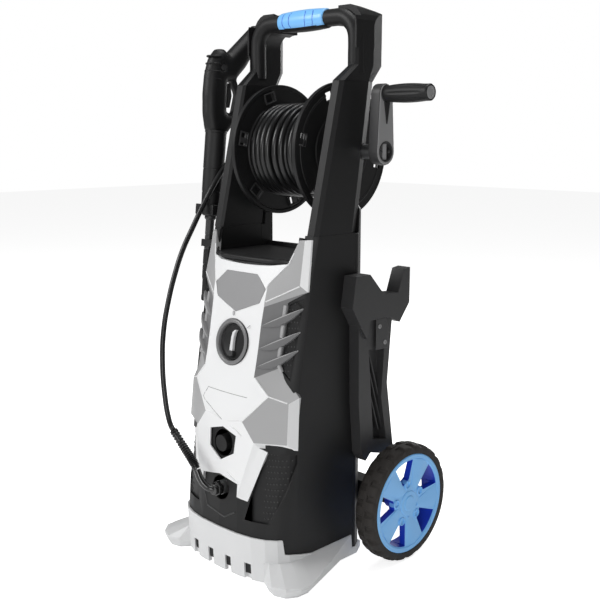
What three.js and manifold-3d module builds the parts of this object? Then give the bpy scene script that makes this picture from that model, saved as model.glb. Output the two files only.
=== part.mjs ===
// Upright pressure washer with a hose reel, a carry handle and two wheels.
// Millimetres, +Z up, front towards -Y, crank on the +X side.
import * as THREE from 'three';
import { mergeVertices } from 'three/addons/utils/BufferGeometryUtils.js';
import Module from 'manifold-3d';

const wasm = await Module();
wasm.setup();

// ---- driving dimensions ----
const gap = 0.3;                 // between pieces that touch
const running = 0.8;             // radial clearance of what turns
const wall = 3;                  // moulded shells

const body = {
  halfWidth: 117,
  backY: 57,                     // where the side walls end
  chamferX: 12,
  chamferY: 20,
  backBulge: 11,
  bottom: 12.3,
  seam: 527,                     // where the columns stand on the housing
  coverSkin: 3.2,
};
// front line: height, y at the middle, depth of the rounded corner, roundness
const front = [
  [0, -128, 62, 2.6],
  [74, -132, 62, 2.6],
  [140, -126.5, 56, 2.4],
  [207, -120, 50, 2.1],
  [300, -108, 38, 1.7],
  [362, -95.5, 34, 1.6],
  [420, -85.5, 34, 1.6],
  [471, -74, 32, 1.6],
  [530, -58.5, 30, 1.6],
];
const cornerSteps = 6;

const skirt = { bottom: 4, floorTop: 12, top: 74, stepZ: 51, stepY: -98, backZ: 14 };
const teeth = { half: [20.5, 61.5], width: 13, top: 30, backY: -122 };
const foot = { lip: 18, top: 38 };

const side = body.halfWidth;
const column = { inner: side - 22, top: 752, collarRise: 24 };
const columnFront = [[body.seam, body.backY - 93], [column.top, body.backY - 40]];
const columnBack = [[body.seam, body.backY + 3], [column.top, body.backY + 38]];
const tray = { bottom: body.seam - 43.5, thickness: 7, backY: body.backY + 17, lipHeight: 6 };

const handle = {
  inner: side - 16,
  outer: side + 2,
  front: body.backY - 11,
  back: body.backY + 56,
  top: column.top + 114,
  backDrop: 13,                  // the rear edge of the arch lies this much lower
  corner: 34,
  innerCorner: 24,
  barRadius: 13,
  barSetback: 14,                // bar's middle behind the front face
  barZ: column.top + 96,
  armLength: 31,                 // the arch reaches this far in before the bar
  gripHalf: 49,
  gripRadius: 16.5,
};

const reel = {
  y: body.backY + 13.3,
  z: column.top - 103.1,
  flangeX: column.inner - 29,
  flangeRadius: 104.5,
  flangeThickness: 4,
  drumRadius: 40,
  hoseRadius: 75,
  shaftRadius: 11,
};
const crank = {
  x: side + 23,
  thickness: 17,
  throw: 84,
  hubRadius: 20,
  endRadius: 15,
  recess: 14,
  gripLength: 82,
  gripRadius: 12.8,
};

const wheel = {
  y: body.backY + 49.4,
  radius: 95,
  rimRadius: 80,
  outer: side + 73,
  width: 36,
  hubRadius: 24,
  axleRadius: 6,
};

const knob = { z: 362, radius: 27.5, ringGap: 1.5, ringWidth: 5.5, shaftRadius: 4, shaftEnd: 24 };
const inlet = { z: 206, radius: 13, window: [[0, 180], [28, 196], [30, 223.5], [0, 232], [-30, 223.5], [-28, 196]] };
const outlet = { z: 135, radius: 11 };
const gland = { x: 40, z: 48, radius: 8 };
const badge = { outline: [[-35, 468], [-57, 448], [-48, 426], [0, 408], [48, 426], [57, 448], [35, 468]], depth: 1.4 };

const gun = { y: 2, z: column.top - 74, lean: 6.3, width: 30, barrelRadius: 19, barrelLength: 139, lanceRadius: 7, standOff: 14 };
const nozzle = { top: -195, length: 87, radius: 7.5 };

const motor = { y: -12, bottom: 190, top: 315, radius: 52, rotorRadius: 30, shaftRadius: 8 };
const pump = { bottom: 96, top: 178, radius: 44, pistonRadius: 6, pistonCircle: 18 };

const colours = {
  black: [0x1b1b1c, 0.55, 0],
  charcoal: [0x2b2c2e, 0.5, 0],
  grey: [0x8d8f91, 0.5, 0],
  light: [0xd9dadb, 0.45, 0],
  blue: [0x4aa0f0, 0.4, 0],
  tyre: [0x35322f, 0.85, 0],
  hose: [0x151515, 0.4, 0],
  steel: [0xb4b6b8, 0.3, 1],
  aluminium: [0xa9abad, 0.4, 1],
  copper: [0x7c4a2c, 0.5, 0.4],
};

// ---- solids ----
function solid(geometry) {
  const plain = geometry.index ? geometry.toNonIndexed() : geometry.clone();
  plain.deleteAttribute('normal');
  plain.deleteAttribute('uv');
  const merged = mergeVertices(plain, 1e-4);
  const mesh = new wasm.Mesh({
    numProp: 3,
    vertProperties: new Float32Array(merged.attributes.position.array),
    triVerts: new Uint32Array(merged.index.array),
  });
  return new wasm.Manifold(mesh);
}

function box(low, high) {
  const size = high.map((value, i) => value - low[i]);
  const geometry = new THREE.BoxGeometry(...size);
  return solid(geometry.translate(...low.map((value, i) => value + size[i] / 2)));
}

// an outline of [u, v] points pushed along one axis: z takes (x, y), y takes (x, z), x takes (y, z)
function prism(axis, outline, from, to) {
  const shape = new THREE.Shape(outline.map(([u, v]) => new THREE.Vector2(u, v)));
  const geometry = new THREE.ExtrudeGeometry(shape, { depth: to - from, bevelEnabled: false });
  const turns = {
    x: new THREE.Matrix4().set(0, 0, 1, from, 1, 0, 0, 0, 0, 1, 0, 0, 0, 0, 0, 1),
    y: new THREE.Matrix4().set(1, 0, 0, 0, 0, 0, -1, to, 0, 1, 0, 0, 0, 0, 0, 1),
    z: new THREE.Matrix4().makeTranslation(0, 0, from),
  };
  return solid(geometry.applyMatrix4(turns[axis]));
}

// a [radius, height] profile turned about one axis, through a point
function turned(axis, profile, at, sides = 24) {
  const points = profile.map(([r, h]) => new THREE.Vector2(r, h));
  const geometry = new THREE.LatheGeometry(points, sides);
  if (axis === 'z') geometry.rotateX(Math.PI / 2);
  if (axis === 'x') geometry.rotateZ(-Math.PI / 2);
  return solid(geometry.translate(...at));
}

function rod(axis, radius, from, to, at, sides = 18) {
  return turned(axis, [[0, from], [radius, from], [radius, to], [0, to]], at, sides);
}

function pipe(points, radius, sides, steps) {
  const path = new THREE.CatmullRomCurve3(points.map((p) => new THREE.Vector3(...p)));
  const ring = new THREE.Shape();
  for (let i = 0; i < sides; i += 1) {
    const angle = (2 * Math.PI * i) / sides;
    const spot = [radius * Math.cos(angle), radius * Math.sin(angle)];
    if (i === 0) ring.moveTo(...spot);
    else ring.lineTo(...spot);
  }
  ring.closePath();
  return solid(new THREE.ExtrudeGeometry(ring, { steps, extrudePath: path, bevelEnabled: false }));
}

// closed skin through rings of [x, y, z] points, all with the same count
function loft(rings) {
  const count = rings[0].length;
  const positions = rings.flat(2);
  const faces = [];
  for (let level = 0; level < rings.length - 1; level += 1) {
    for (let i = 0; i < count; i += 1) {
      const next = (i + 1) % count;
      const a = level * count + i;
      const b = level * count + next;
      // the two sides of the middle plane are split as mirror images
      if (rings[level][i][0] + rings[level][next][0] < 0) faces.push(a, b, a + count, b, b + count, a + count);
      else faces.push(a, b, b + count, a, b + count, a + count);
    }
  }
  const top = (rings.length - 1) * count;
  const flat = THREE.ShapeUtils.triangulateShape(rings[0].map(([x, y]) => new THREE.Vector2(x, y)), []);
  const flatTop = THREE.ShapeUtils.triangulateShape(rings.at(-1).map(([x, y]) => new THREE.Vector2(x, y)), []);
  flat.forEach(([a, b, c]) => faces.push(a, c, b));
  flatTop.forEach(([a, b, c]) => faces.push(top + a, top + b, top + c));
  const geometry = new THREE.BufferGeometry();
  geometry.setAttribute('position', new THREE.Float32BufferAttribute(positions, 3));
  geometry.setIndex(faces);
  return solid(geometry);
}

function geometryOf(shape) {
  const mesh = shape.getMesh();
  const geometry = new THREE.BufferGeometry();
  geometry.setAttribute('position', new THREE.Float32BufferAttribute(mesh.vertProperties, 3));
  geometry.setIndex(new THREE.Uint32BufferAttribute(mesh.triVerts, 1));
  return geometry;
}

// the same shape on the other side of the middle plane
function mirrored(shape) {
  const geometry = geometryOf(shape).scale(-1, 1, 1);
  geometry.index.array.reverse();
  return solid(geometry);
}

function moved(shape, matrix) {
  return solid(geometryOf(shape).applyMatrix4(matrix));
}

// ---- the parts' tree ----
const group = new THREE.Group();
group.name = 'pressure_washer';
const washer = new THREE.Group();
group.add(washer);

function add(name, shape, colour, parent = washer) {
  const geometry = geometryOf(shape);
  geometry.computeVertexNormals();
  const [hex, roughness, metalness] = colours[colour];
  const material = new THREE.MeshStandardMaterial({ color: hex, roughness, metalness });
  const part = new THREE.Mesh(geometry, material);
  part.name = name;
  parent.add(part);
  return part;
}

function between(table, z, item) {
  const last = table.length - 1;
  for (let i = 0; i < last; i += 1) {
    if (z <= table[i + 1][0] || i === last - 1) {
      const share = (z - table[i][0]) / (table[i + 1][0] - table[i][0]);
      return table[i][item] + share * (table[i + 1][item] - table[i][item]);
    }
  }
  return table[last][item];
}

// plan of the housing at one station, moved in by inset
function stationPlan([z, frontLine, cornerDepth, roundness], inset) {
  const half = side - inset;
  const y = frontLine + inset;
  const depth = cornerDepth - inset;
  const power = 2 / roundness;
  const right = [];
  for (let i = 1; i <= cornerSteps; i += 1) {
    const angle = (Math.PI / 2) * (i / cornerSteps);
    right.push([half * Math.sin(angle) ** power, y + depth * (1 - Math.cos(angle) ** power)]);
  }
  right.push([half, body.backY - inset * 0.4]);
  right.push([half - body.chamferX, body.backY + body.chamferY - inset]);
  right.push([half * 0.5, body.backY + body.chamferY + body.backBulge * 0.8 - inset]);
  const left = right.map(([px, py]) => [-px, py]).reverse();
  const back = body.backY + body.chamferY + body.backBulge - inset;
  return [[0, y], ...right, [0, back], ...left].map(([px, py]) => [px, py, z]);
}

// the plan at any height lies on straight lines between the stations
function plan(z, inset) {
  let i = front.findIndex(([height]) => height >= z);
  if (i < 1) i = i === 0 ? 1 : front.length - 1;
  const low = stationPlan(front[i - 1], inset);
  const high = stationPlan(front[i], inset);
  const share = (z - front[i - 1][0]) / (front[i][0] - front[i - 1][0]);
  return low.map((point, k) => point.map((value, axis) => value + share * (high[k][axis] - value)));
}

function envelope(inset, from, to) {
  const heights = [from, ...front.map(([z]) => z).filter((z) => z > from + 1 && z < to - 1), to];
  return loft(heights.map((z) => plan(z, inset)));
}

function frontY(z, inset = 0) {
  return between(front, z, 1) + inset;
}

// ---- base ----
const sideProfile = [
  [-200, skirt.top],
  [skirt.stepY - 3, skirt.top],
  [skirt.stepY, skirt.stepZ],
  [body.backY, skirt.backZ],
  [200, skirt.backZ],
  [200, -10],
  [-200, -10],
];

function footSolid() {
  // x counts from the side wall
  const bottom = [[-21, -112], [-9, -126], [7, -130], [24, -124], [34, -108], [35, -88], [-3, 20], [-21, 20]];
  const lip = [[-29, -118], [-14, -131], [7, -137], [29, -128], [44, -110], [46, -88], [2, 48], [-21, 48]];
  const top = [[-35, -116], [-29, -119], [-21, -115], [-9, -104], [0, -88], [2.5, -70], [2, 46], [-21, 46]];
  const level = (points, z) => points.map(([x, y]) => [side + x, y, z]);
  return loft([level(bottom, 0), level(lip, foot.lip * 0.75), level(lip, foot.lip), level(top, foot.top)]);
}

const coverOut = -body.coverSkin;
const inside = envelope(-gap, skirt.floorTop, 560);
let base = envelope(coverOut, skirt.bottom, skirt.top);
base = base.intersect(prism('x', sideProfile, -200, 200));
base = base.add(footSolid()).add(mirrored(footSolid()));
base = base.subtract(inside);
const underside = envelope(wall, -5, skirt.floorTop - wall);
base = base.subtract(underside);
[-1, 1].forEach((side) => teeth.half.forEach((x) => {
  const half = teeth.width / 2;
  base = base.subtract(box([side * x - half, -200, 0], [side * x + half, teeth.backY, teeth.top]));
}));
add('base_chassis', base, 'light');

// ---- frame of the switch dial, square to the sloping front ----
const knobY = frontY(knob.z) + coverOut;
const faceLean = Math.atan((frontY(knob.z + 40) - frontY(knob.z - 40)) / 80);
const knobFrame = new THREE.Matrix4().makeTranslation(0, knobY, knob.z)
  .multiply(new THREE.Matrix4().makeRotationX(Math.PI / 2 - faceLean));
const dial = (profile, sides = 32) => moved(turned('z', profile, [0, 0, 0], sides), knobFrame);
const ringBore = knob.radius + knob.ringGap;
const ringRadius = ringBore + knob.ringWidth;
const dialHole = (radius) => dial([[0, -40], [radius, -40], [radius, 20], [0, 20]]);

// ---- main housing ----
const frontBox = (outline) => prism('y', outline, -200, -30);
const beyond = side + 4;           // just outside the side wall
const flankRecess = [[side - 27, 426], [beyond, 444], [beyond, 300], [side - 27, 334]];
const lowerRecess = [[54, 98], [side - 21, 98], [beyond, 176], [beyond, 203], [side - 33, 206]];
const flankSide = [[-200, 290], [-84, 290], [-52, 450], [-200, 450]];
const lowerSide = [[-200, 80], [-112, 96], [-74, 190], [-74, 215], [-200, 215]];
const mirroredOutline = (outline) => outline.map(([x, z]) => [-x, z]).reverse();

let housing = envelope(0, body.bottom, body.seam);
housing = housing.subtract(envelope(wall, body.bottom - 5, tray.bottom - gap - wall));
housing = housing.subtract(box([-200, body.backY - 6, 0], [200, 200, 700]));
housing = housing.subtract(box([-column.inner, -200, tray.bottom - gap], [column.inner, 200, 600]));
const columnToe = columnFront[0][1];
const shoulder = [[-200, 470], [columnToe - 13.5, 470], [columnToe, body.seam + 1], [-200, body.seam + 1]];
housing = housing.subtract(prism('x', shoulder, -200, 200)
  .intersect(box([-200, -200, tray.bottom + 9], [200, 200, 600])));
const socket = box([column.inner + wall, -30, tray.bottom - 5], [side - wall, 40, body.seam + wall]);
housing = housing.subtract(socket).subtract(mirrored(socket));
[[flankRecess, flankSide], [lowerRecess, lowerSide]].forEach(([outline, depth]) => {
  const hole = frontBox(outline).intersect(prism('x', depth, -200, 200));
  housing = housing.subtract(hole).subtract(mirrored(hole));
});
housing = housing.subtract(dialHole(ringBore + 4));
housing = housing.subtract(rod('y', inlet.radius + 8, -200, -60, [0, 0, inlet.z]));
housing = housing.subtract(rod('y', outlet.radius + 8, -200, -60, [0, 0, outlet.z]));
add('main_housing', housing, 'black');

// grille panels behind the recesses
const grilleSkin = envelope(wall + gap, 60, 460).subtract(envelope(wall + gap + 2, 50, 470));
const grilleShape = [
  [44, 90], [side - 13, 90], [side + 13, 170], [side + 13, 452], [side - 35, 434], [side - 35, 220],
];
const grille = grilleSkin.intersect(frontBox(grilleShape));
add('side_grille_right', grille, 'black');
add('side_grille_left', mirrored(grille), 'black');

// ---- rear cover ----
const rearTop = 575;
let rear = loft([body.bottom, 200, 480, rearTop - 14, rearTop].map((z) => {
  const shrink = z === rearTop ? 6 : 0;
  return plan(Math.min(z, body.seam), shrink).map(([x, y]) => [x, y, z]);
}));
rear = rear.intersect(box([-200, body.backY - 6 + gap, 0], [200, 200, 700]));
rear = rear.subtract(envelope(wall, body.bottom - 5, tray.bottom - gap - wall));
rear = rear.subtract(box([-column.inner - gap, 0, tray.bottom - gap], [column.inner + gap, 200, 700]));
const columnHeel = columnBack[0][1];
const columnRoom = [
  [-60, body.seam - 1], [columnHeel + 0.5, body.seam - 1], [columnHeel + 10, rearTop + 10], [-60, rearTop + 10],
];
rear = rear.subtract(prism('x', columnRoom, -200, 200));
rear = rear.subtract(rod('y', gland.radius + gap, 60, 120, [gland.x, 0, gland.z]));
rear = rear.subtract(rod('x', wheel.axleRadius + 8, -200, 200, [0, wheel.y, wheel.radius]));
add('rear_cover', rear, 'black');

// ---- front cover ----
const coverOutline = [
  [0, 483], [side - 33, 483], [side - 29, 503], [column.inner - 1, 521], [side - 6, 522], [side - 1, 447],
  [side - 27, 430], [side - 27, 334], [beyond, 292], [beyond, 210], [side - 44, 214], [48, 130], [40, 151], [0, 158],
];
const coverSide = [
  [-200, 100], [-84, 100], [-71, 211], [-83, 292], [-62, 320], [-52, 430], [-38, 447], [-18, 525], [-200, 525],
];
const fins = [418, 384, 357];
const coverShape = coverOutline.concat(mirroredOutline(coverOutline).slice(1, -1));
const skin = envelope(coverOut, 105, 525).subtract(envelope(-gap, 95, 540));
let cover = skin.intersect(frontBox(coverShape)).intersect(prism('x', coverSide, -200, 200));
const finSkin = envelope(coverOut - 2.5, 300, 440).subtract(envelope(-gap, 290, 450));
fins.forEach((tipZ) => {
  const outline = [
    [57, tipZ - 26], [side - 11, tipZ - 2], [side - 7, tipZ + 4], [side - 13, tipZ + 3], [60, tipZ - 21],
  ];
  const fin = finSkin.intersect(frontBox(outline)).intersect(prism('x', flankSide, -200, 200));
  cover = cover.add(fin).add(mirrored(fin));
});
cover = cover.subtract(dialHole(ringBore + gap + 2));
cover = cover.subtract(frontBox(inlet.window));
const badgeBed = envelope(coverOut - 2, 380, 500).subtract(envelope(coverOut + badge.depth, 370, 510));
cover = cover.subtract(badgeBed.intersect(frontBox(badge.outline)));
add('front_cover', cover, 'light');

const badgeSkin = envelope(coverOut, 380, 500).subtract(envelope(coverOut + badge.depth - gap, 370, 510));
const badgeShape = badge.outline.map(([x, z]) => [x * 0.985, 441 + (z - 441) * 0.975]);
add('badge_plate', badgeSkin.intersect(frontBox(badgeShape)), 'grey');

// ---- switch ----
add('dial_ring', dial([
  [ringBore, -9], [ringBore + 2, -9], [ringBore + 2, 1], [ringRadius, 1],
  [ringRadius, 3.5], [ringBore, 3.5], [ringBore, -9],
]), 'grey');
const knobTurning = new THREE.Group();
washer.add(knobTurning);
const knobDisc = [
  [0, -knob.shaftEnd], [knob.shaftRadius, -knob.shaftEnd], [knob.shaftRadius, -7], [knob.radius, -7],
  [knob.radius, -4], [0, -4],
];
const barHalf = knob.radius - 6.5;
const knobBar = moved(box([-5, -barHalf, -5], [5, barHalf, 5]), knobFrame);
add('switch_knob', dial(knobDisc).add(knobBar), 'black', knobTurning);
const shaftRoom = knob.shaftRadius + running;
const shaftRoomEnd = knob.shaftEnd + running;
const switchBox = moved(box([-24, -22, -shaftRoomEnd - 22], [24, 22, 8 - knob.shaftEnd]), knobFrame);
const shaftHole = dial([[0, -shaftRoomEnd], [shaftRoom, -shaftRoomEnd], [shaftRoom, 20], [0, 20]]);
add('switch_box', switchBox.subtract(shaftHole), 'black');

// ---- columns ----
function columnSection(z, inset = 0) {
  const f = between(columnFront, z, 1) + inset;
  const b = between(columnBack, z, 1) - inset;
  const x0 = column.inner + inset;
  const x1 = side - inset;
  return [
    [x0 + 4, f], [x1 - 5, f], [x1, f + 6], [x1, b - 18], [x1 - 8, b], [x0 + 5, b], [x0, b - 9], [x0, f + 4],
  ].map(([x, y]) => [x, y, z]);
}
const columnFoot = body.seam + gap;
let columnRight = loft([columnSection(columnFoot), columnSection(column.top)]);
columnRight = columnRight.subtract(loft([columnSection(columnFoot - 5, wall), columnSection(column.top - wall, wall)]));
columnRight = columnRight.subtract(rod('x', reel.shaftRadius + running, -200, 200, [0, reel.y, reel.z], 24));
add('column_right', columnRight, 'black');
add('column_left', mirrored(columnRight), 'black');

// ---- reel tray ----
const trayHalf = column.inner - gap;
const trayTop = tray.bottom + tray.thickness;
let trayShape = envelope(0, tray.bottom, trayTop).intersect(box([-trayHalf, -200, 400], [trayHalf, tray.backY, 600]));
const trayLip = box([-trayHalf, tray.backY - 7, trayTop - 1], [trayHalf, tray.backY, trayTop + tray.lipHeight]);
trayShape = trayShape.add(trayLip);
add('reel_tray', trayShape, 'black');

// ---- handle ----
function handleSection(z, share) {
  const low = columnSection(column.top);
  const f = handle.front;
  const b = handle.back;
  const x0 = handle.inner;
  const x1 = handle.outer;
  const high = [
    [x0 + 4, f], [x1 - 5, f], [x1, f + 6], [x1, b - 28], [x1 - 8, b], [x0 + 4, b], [x0, b - 9], [x0, f + 4],
  ];
  return high.map(([x, y], i) => [x * share + low[i][0] * (1 - share), y * share + low[i][1] * (1 - share), z]);
}
const uprightTop = column.top + 48;
const upright = loft([
  handleSection(column.top + gap, 0),
  handleSection(column.top + column.collarRise, 1),
  handleSection(uprightTop + 5, 1),
]);
function archOutline(half, topZ, radius) {
  const points = [];
  for (let i = 0; i <= 6; i += 1) {
    const angle = (Math.PI / 2) * (i / 6);
    points.push([half - radius + radius * Math.cos(angle), topZ - radius + radius * Math.sin(angle)]);
  }
  return [[half, uprightTop], ...points, ...points.map(([x, z]) => [-x, z]).reverse(), [-half, uprightTop]];
}
const barAt = [0, handle.front + handle.barSetback, handle.barZ];
const armEnd = handle.inner - handle.armLength;
let arch = prism('y', archOutline(handle.outer, handle.top, handle.corner), handle.front, handle.back);
arch = arch.subtract(prism('y', archOutline(handle.inner, handle.barZ - handle.barRadius, handle.innerCorner), 0, 200)
  .add(box([-handle.inner, 0, column.top - 50], [handle.inner, 200, uprightTop + 1])));
arch = arch.subtract(box([-armEnd, 0, column.top - 50], [armEnd, 200, handle.top + 30]));
const topSlope = [
  [handle.front - 6, handle.top + 3], [handle.back + 7, handle.top - handle.backDrop - 2],
  [handle.back + 7, handle.top + 34], [handle.front - 6, handle.top + 34],
];
arch = arch.subtract(prism('x', topSlope, -200, 200));
const bar = rod('x', handle.barRadius, -armEnd - 5, armEnd + 5, barAt);
add('carry_handle', arch.add(upright).add(mirrored(upright)).add(bar), 'black');
add('handle_grip', turned('x', [
  [handle.barRadius + gap, -handle.gripHalf], [handle.gripRadius - 1.5, -handle.gripHalf], [handle.gripRadius, 0],
  [handle.gripRadius - 1.5, handle.gripHalf], [handle.barRadius + gap, handle.gripHalf],
  [handle.barRadius + gap, -handle.gripHalf],
], barAt), 'blue');

// ---- hose reel ----
const reelAt = [0, reel.y, reel.z];
const spinning = new THREE.Group();
washer.add(spinning);
const bore = reel.shaftRadius + gap;
const flangeEnd = reel.flangeX + reel.flangeThickness;
function flangeProfile(from, to) {
  return [[bore, from], [reel.flangeRadius, from], [reel.flangeRadius, to], [bore, to], [bore, from]];
}
let flange = turned('x', flangeProfile(reel.flangeX, flangeEnd), reelAt, 48);
for (let i = 0; i < 4; i += 1) {
  const slot = box([reel.flangeX - 2, -9, 78], [flangeEnd + 2, 9, 92]);
  const spin = new THREE.Matrix4().makeTranslation(...reelAt)
    .multiply(new THREE.Matrix4().makeRotationX(Math.PI / 4 + (Math.PI / 2) * i));
  flange = flange.subtract(moved(slot, spin));
}
add('reel_flange_right', flange, 'black', spinning);
add('reel_flange_left', mirrored(flange), 'black', spinning);
const drumHalf = reel.flangeX - gap;
add('reel_drum', turned('x', [
  [bore, -drumHalf], [reel.drumRadius, -drumHalf], [reel.drumRadius, drumHalf], [bore, drumHalf], [bore, -drumHalf],
], reelAt), 'black', spinning);
const hoseHalf = drumHalf - 1;
add('wound_hose', turned('x', [
  [reel.drumRadius + gap, -hoseHalf], [reel.hoseRadius, -hoseHalf], [reel.hoseRadius, hoseHalf],
  [reel.drumRadius + gap, hoseHalf], [reel.drumRadius + gap, -hoseHalf],
], reelAt, 32), 'hose', spinning);
const crankEnd = crank.x + crank.thickness;
add('reel_shaft', rod('x', reel.shaftRadius, 9 - side, crankEnd - crank.recess / 2 - 2, reelAt), 'steel', spinning);

const gripZ = reel.z + crank.throw;
function crankOutline() {
  const points = [];
  for (let i = 0; i <= 8; i += 1) {
    const angle = Math.PI + (Math.PI * i) / 8;
    points.push([reel.y + crank.hubRadius * Math.cos(angle), reel.z + crank.hubRadius * Math.sin(angle)]);
  }
  for (let i = 0; i <= 8; i += 1) {
    const angle = (Math.PI * i) / 8;
    points.push([reel.y + crank.endRadius * Math.cos(angle), gripZ + crank.endRadius * Math.sin(angle)]);
  }
  return points;
}
const gripPin = 6;
let arm = prism('x', crankOutline(), crank.x, crankEnd);
arm = arm.subtract(rod('x', bore, 0, crankEnd - crank.recess / 2, reelAt));
arm = arm.subtract(rod('x', crank.recess, crankEnd - crank.recess / 2, 300, reelAt, 24));
const gripEnd = crankEnd + crank.gripLength;
arm = arm.add(rod('x', gripPin, crankEnd - 1, gripEnd - 8, [0, reel.y, gripZ], 16));
add('crank_arm', arm, 'charcoal', spinning);
const clipLow = [crankEnd - crank.recess / 2 + gap, reel.y - 4, reel.z - 12];
add('crank_clip', box(clipLow, [crankEnd - 1, reel.y + 4, reel.z + 12]), 'grey', spinning);
const gripSpinning = new THREE.Group();
spinning.add(gripSpinning);
const gripBore = gripPin + running;
const gripStart = crankEnd + running;
add('crank_grip', turned('x', [
  [gripBore, gripStart], [crank.gripRadius + 1.5, gripStart], [crank.gripRadius - 2, gripStart + 14],
  [crank.gripRadius, gripStart + 40], [crank.gripRadius - 1.5, gripEnd - 4], [crank.gripRadius - 3, gripEnd],
  [0, gripEnd], [0, gripEnd - 7], [gripBore, gripEnd - 7], [gripBore, gripStart],
], [0, reel.y, gripZ]), 'black', gripSpinning);

// fixed swivel on the outside of the left column
const swivelTail = rod('y', 7, reel.y - 18.3, reel.y, [-side - 10, 0, reel.z - 3], 16);
const swivel = rod('x', 13, -side - 19, -side - gap, reelAt).add(swivelTail);
add('reel_swivel', swivel, 'charcoal');

// ---- cord hooks ----
const hookFrom = side + gap;
const hook = { headDepth: 24.7, postDepth: 19.7, grooveFloor: 5.7 };
const hookHead = [
  [26, 464], [58, 464], [90, 431], [126, 428], [140, 464], [155, 466], [155, 409], [131, 380], [100, 392],
  [60, 392], [52, 364], [38, 384], [18, 416],
];
const hookPost = [
  [38, 391], [118, 391], [108, 284], [126, 172], [112, 164], [70, 176], [58, 165], [48, 178], [40, 262],
];
const hookGroove = [[62, 345], [100, 345], [94, 262], [108, 190], [76, 196]];
const hookRight = prism('x', hookHead, hookFrom, hookFrom + hook.headDepth)
  .add(prism('x', hookPost, hookFrom, hookFrom + hook.postDepth))
  .subtract(prism('x', hookGroove, hookFrom + hook.grooveFloor, 300));
add('cord_hook_right', hookRight, 'charcoal');
add('cord_hook_left', mirrored(hookRight), 'charcoal');

// ---- wheels and axle ----
const axleAt = [0, wheel.y, wheel.radius];
const axleBore = wheel.axleRadius + running;
const hubStart = wheel.outer - wheel.width - 4;
const axleEnd = wheel.outer - 6;
add('axle', rod('x', wheel.axleRadius, -axleEnd, axleEnd, axleAt), 'steel');
const carrierHalf = { x: side - 5, y: 15.5, z: 17 };
let carrier = box(
  [-carrierHalf.x, wheel.y - carrierHalf.y, wheel.radius - carrierHalf.z],
  [carrierHalf.x, wheel.y + carrierHalf.y, wheel.radius + carrierHalf.z],
);
carrier = carrier.add(rod('x', 13, -hubStart + 1.5, hubStart - 1.5, axleAt));
carrier = carrier.subtract(rod('x', wheel.axleRadius + gap, -200, 200, axleAt));
add('axle_carrier', carrier, 'black');
const spokes = 5;
function rimSolid() {
  const inner = wheel.outer - wheel.width + 3;
  const outer = wheel.outer - 1;
  let rim = turned('x', [
    [wheel.rimRadius - 8, inner], [wheel.rimRadius - gap, inner], [wheel.rimRadius - gap, outer],
    [wheel.rimRadius - 6, outer], [wheel.rimRadius - 8, inner],
  ], axleAt, 36);
  rim = rim.add(turned('x', [
    [axleBore, hubStart], [wheel.hubRadius, hubStart], [wheel.hubRadius, outer - 4], [axleBore, outer - 4],
    [axleBore, hubStart],
  ], axleAt));
  for (let i = 0; i < spokes; i += 1) {
    const spoke = box([inner + 4, -12, wheel.hubRadius - 4], [outer - 6, 12, wheel.rimRadius - 6]);
    const spin = new THREE.Matrix4().makeTranslation(...axleAt)
      .multiply(new THREE.Matrix4().makeRotationX((2 * Math.PI * i) / spokes));
    rim = rim.add(moved(spoke, spin));
  }
  return rim;
}
const tyre = turned('x', [
  [wheel.rimRadius, wheel.outer - wheel.width + 2], [wheel.radius - 4, wheel.outer - wheel.width],
  [wheel.radius, wheel.outer - wheel.width + 4], [wheel.radius, wheel.outer - 4], [wheel.radius - 4, wheel.outer],
  [wheel.rimRadius, wheel.outer - 1], [wheel.rimRadius, wheel.outer - wheel.width + 2],
], axleAt, 48);
const rim = rimSolid();
[['right', (shape) => shape], ['left', mirrored]].forEach(([label, side]) => {
  const turning = new THREE.Group();
  washer.add(turning);
  add(`wheel_rim_${label}`, side(rim), 'blue', turning);
  add(`tyre_${label}`, side(tyre), 'tyre', turning);
});

// ---- motor and pump ----
const motorAt = [0, motor.y, 0];
const statorBore = motor.rotorRadius + 1.2;
const spindle = motor.shaftRadius + running;
add('motor_stator', turned('z', [
  [statorBore, motor.bottom], [motor.radius, motor.bottom], [motor.radius, motor.top], [spindle, motor.top],
  [spindle, motor.top - 6], [statorBore, motor.top - 6], [statorBore, motor.bottom],
], motorAt), 'aluminium');
const fanZ = motor.top + 6;
const swashZ = pump.top - 30;
const rotorTurning = new THREE.Group();
washer.add(rotorTurning);
add('motor_rotor', turned('z', [
  [0, swashZ + 8], [motor.shaftRadius, swashZ + 8], [motor.shaftRadius, motor.bottom + 6],
  [motor.rotorRadius, motor.bottom + 6], [motor.rotorRadius, motor.top - 14], [motor.shaftRadius, motor.top - 14],
  [motor.shaftRadius, fanZ], [0, fanZ],
], motorAt), 'steel', rotorTurning);
add('cooling_fan', rod('z', motor.radius - 6, fanZ + gap, fanZ + 9, motorAt, 24), 'black', rotorTurning);
const swashTilt = new THREE.Matrix4().makeTranslation(0, motor.y, swashZ - 2)
  .multiply(new THREE.Matrix4().makeRotationX(0.14));
const swash = moved(rod('z', 25, -4, 3, [0, 0, 0]), swashTilt)
  .add(rod('z', motor.shaftRadius, swashZ - 2, swashZ + 8 - gap, motorAt));
add('swash_plate', swash, 'steel', rotorTurning);
add('motor_mount', turned('z', [
  [statorBore, pump.top + gap], [motor.radius + 7, pump.top + gap], [motor.radius + 7, motor.bottom - gap],
  [statorBore, motor.bottom - gap], [statorBore, pump.top + gap],
], motorAt), 'charcoal');
const chamberFloor = pump.bottom + 20;
let block = turned('z', [
  [0, pump.bottom], [pump.radius, pump.bottom], [pump.radius, pump.top], [pump.radius - 10, pump.top],
  [pump.radius - 10, chamberFloor], [0, chamberFloor],
], motorAt);
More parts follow.
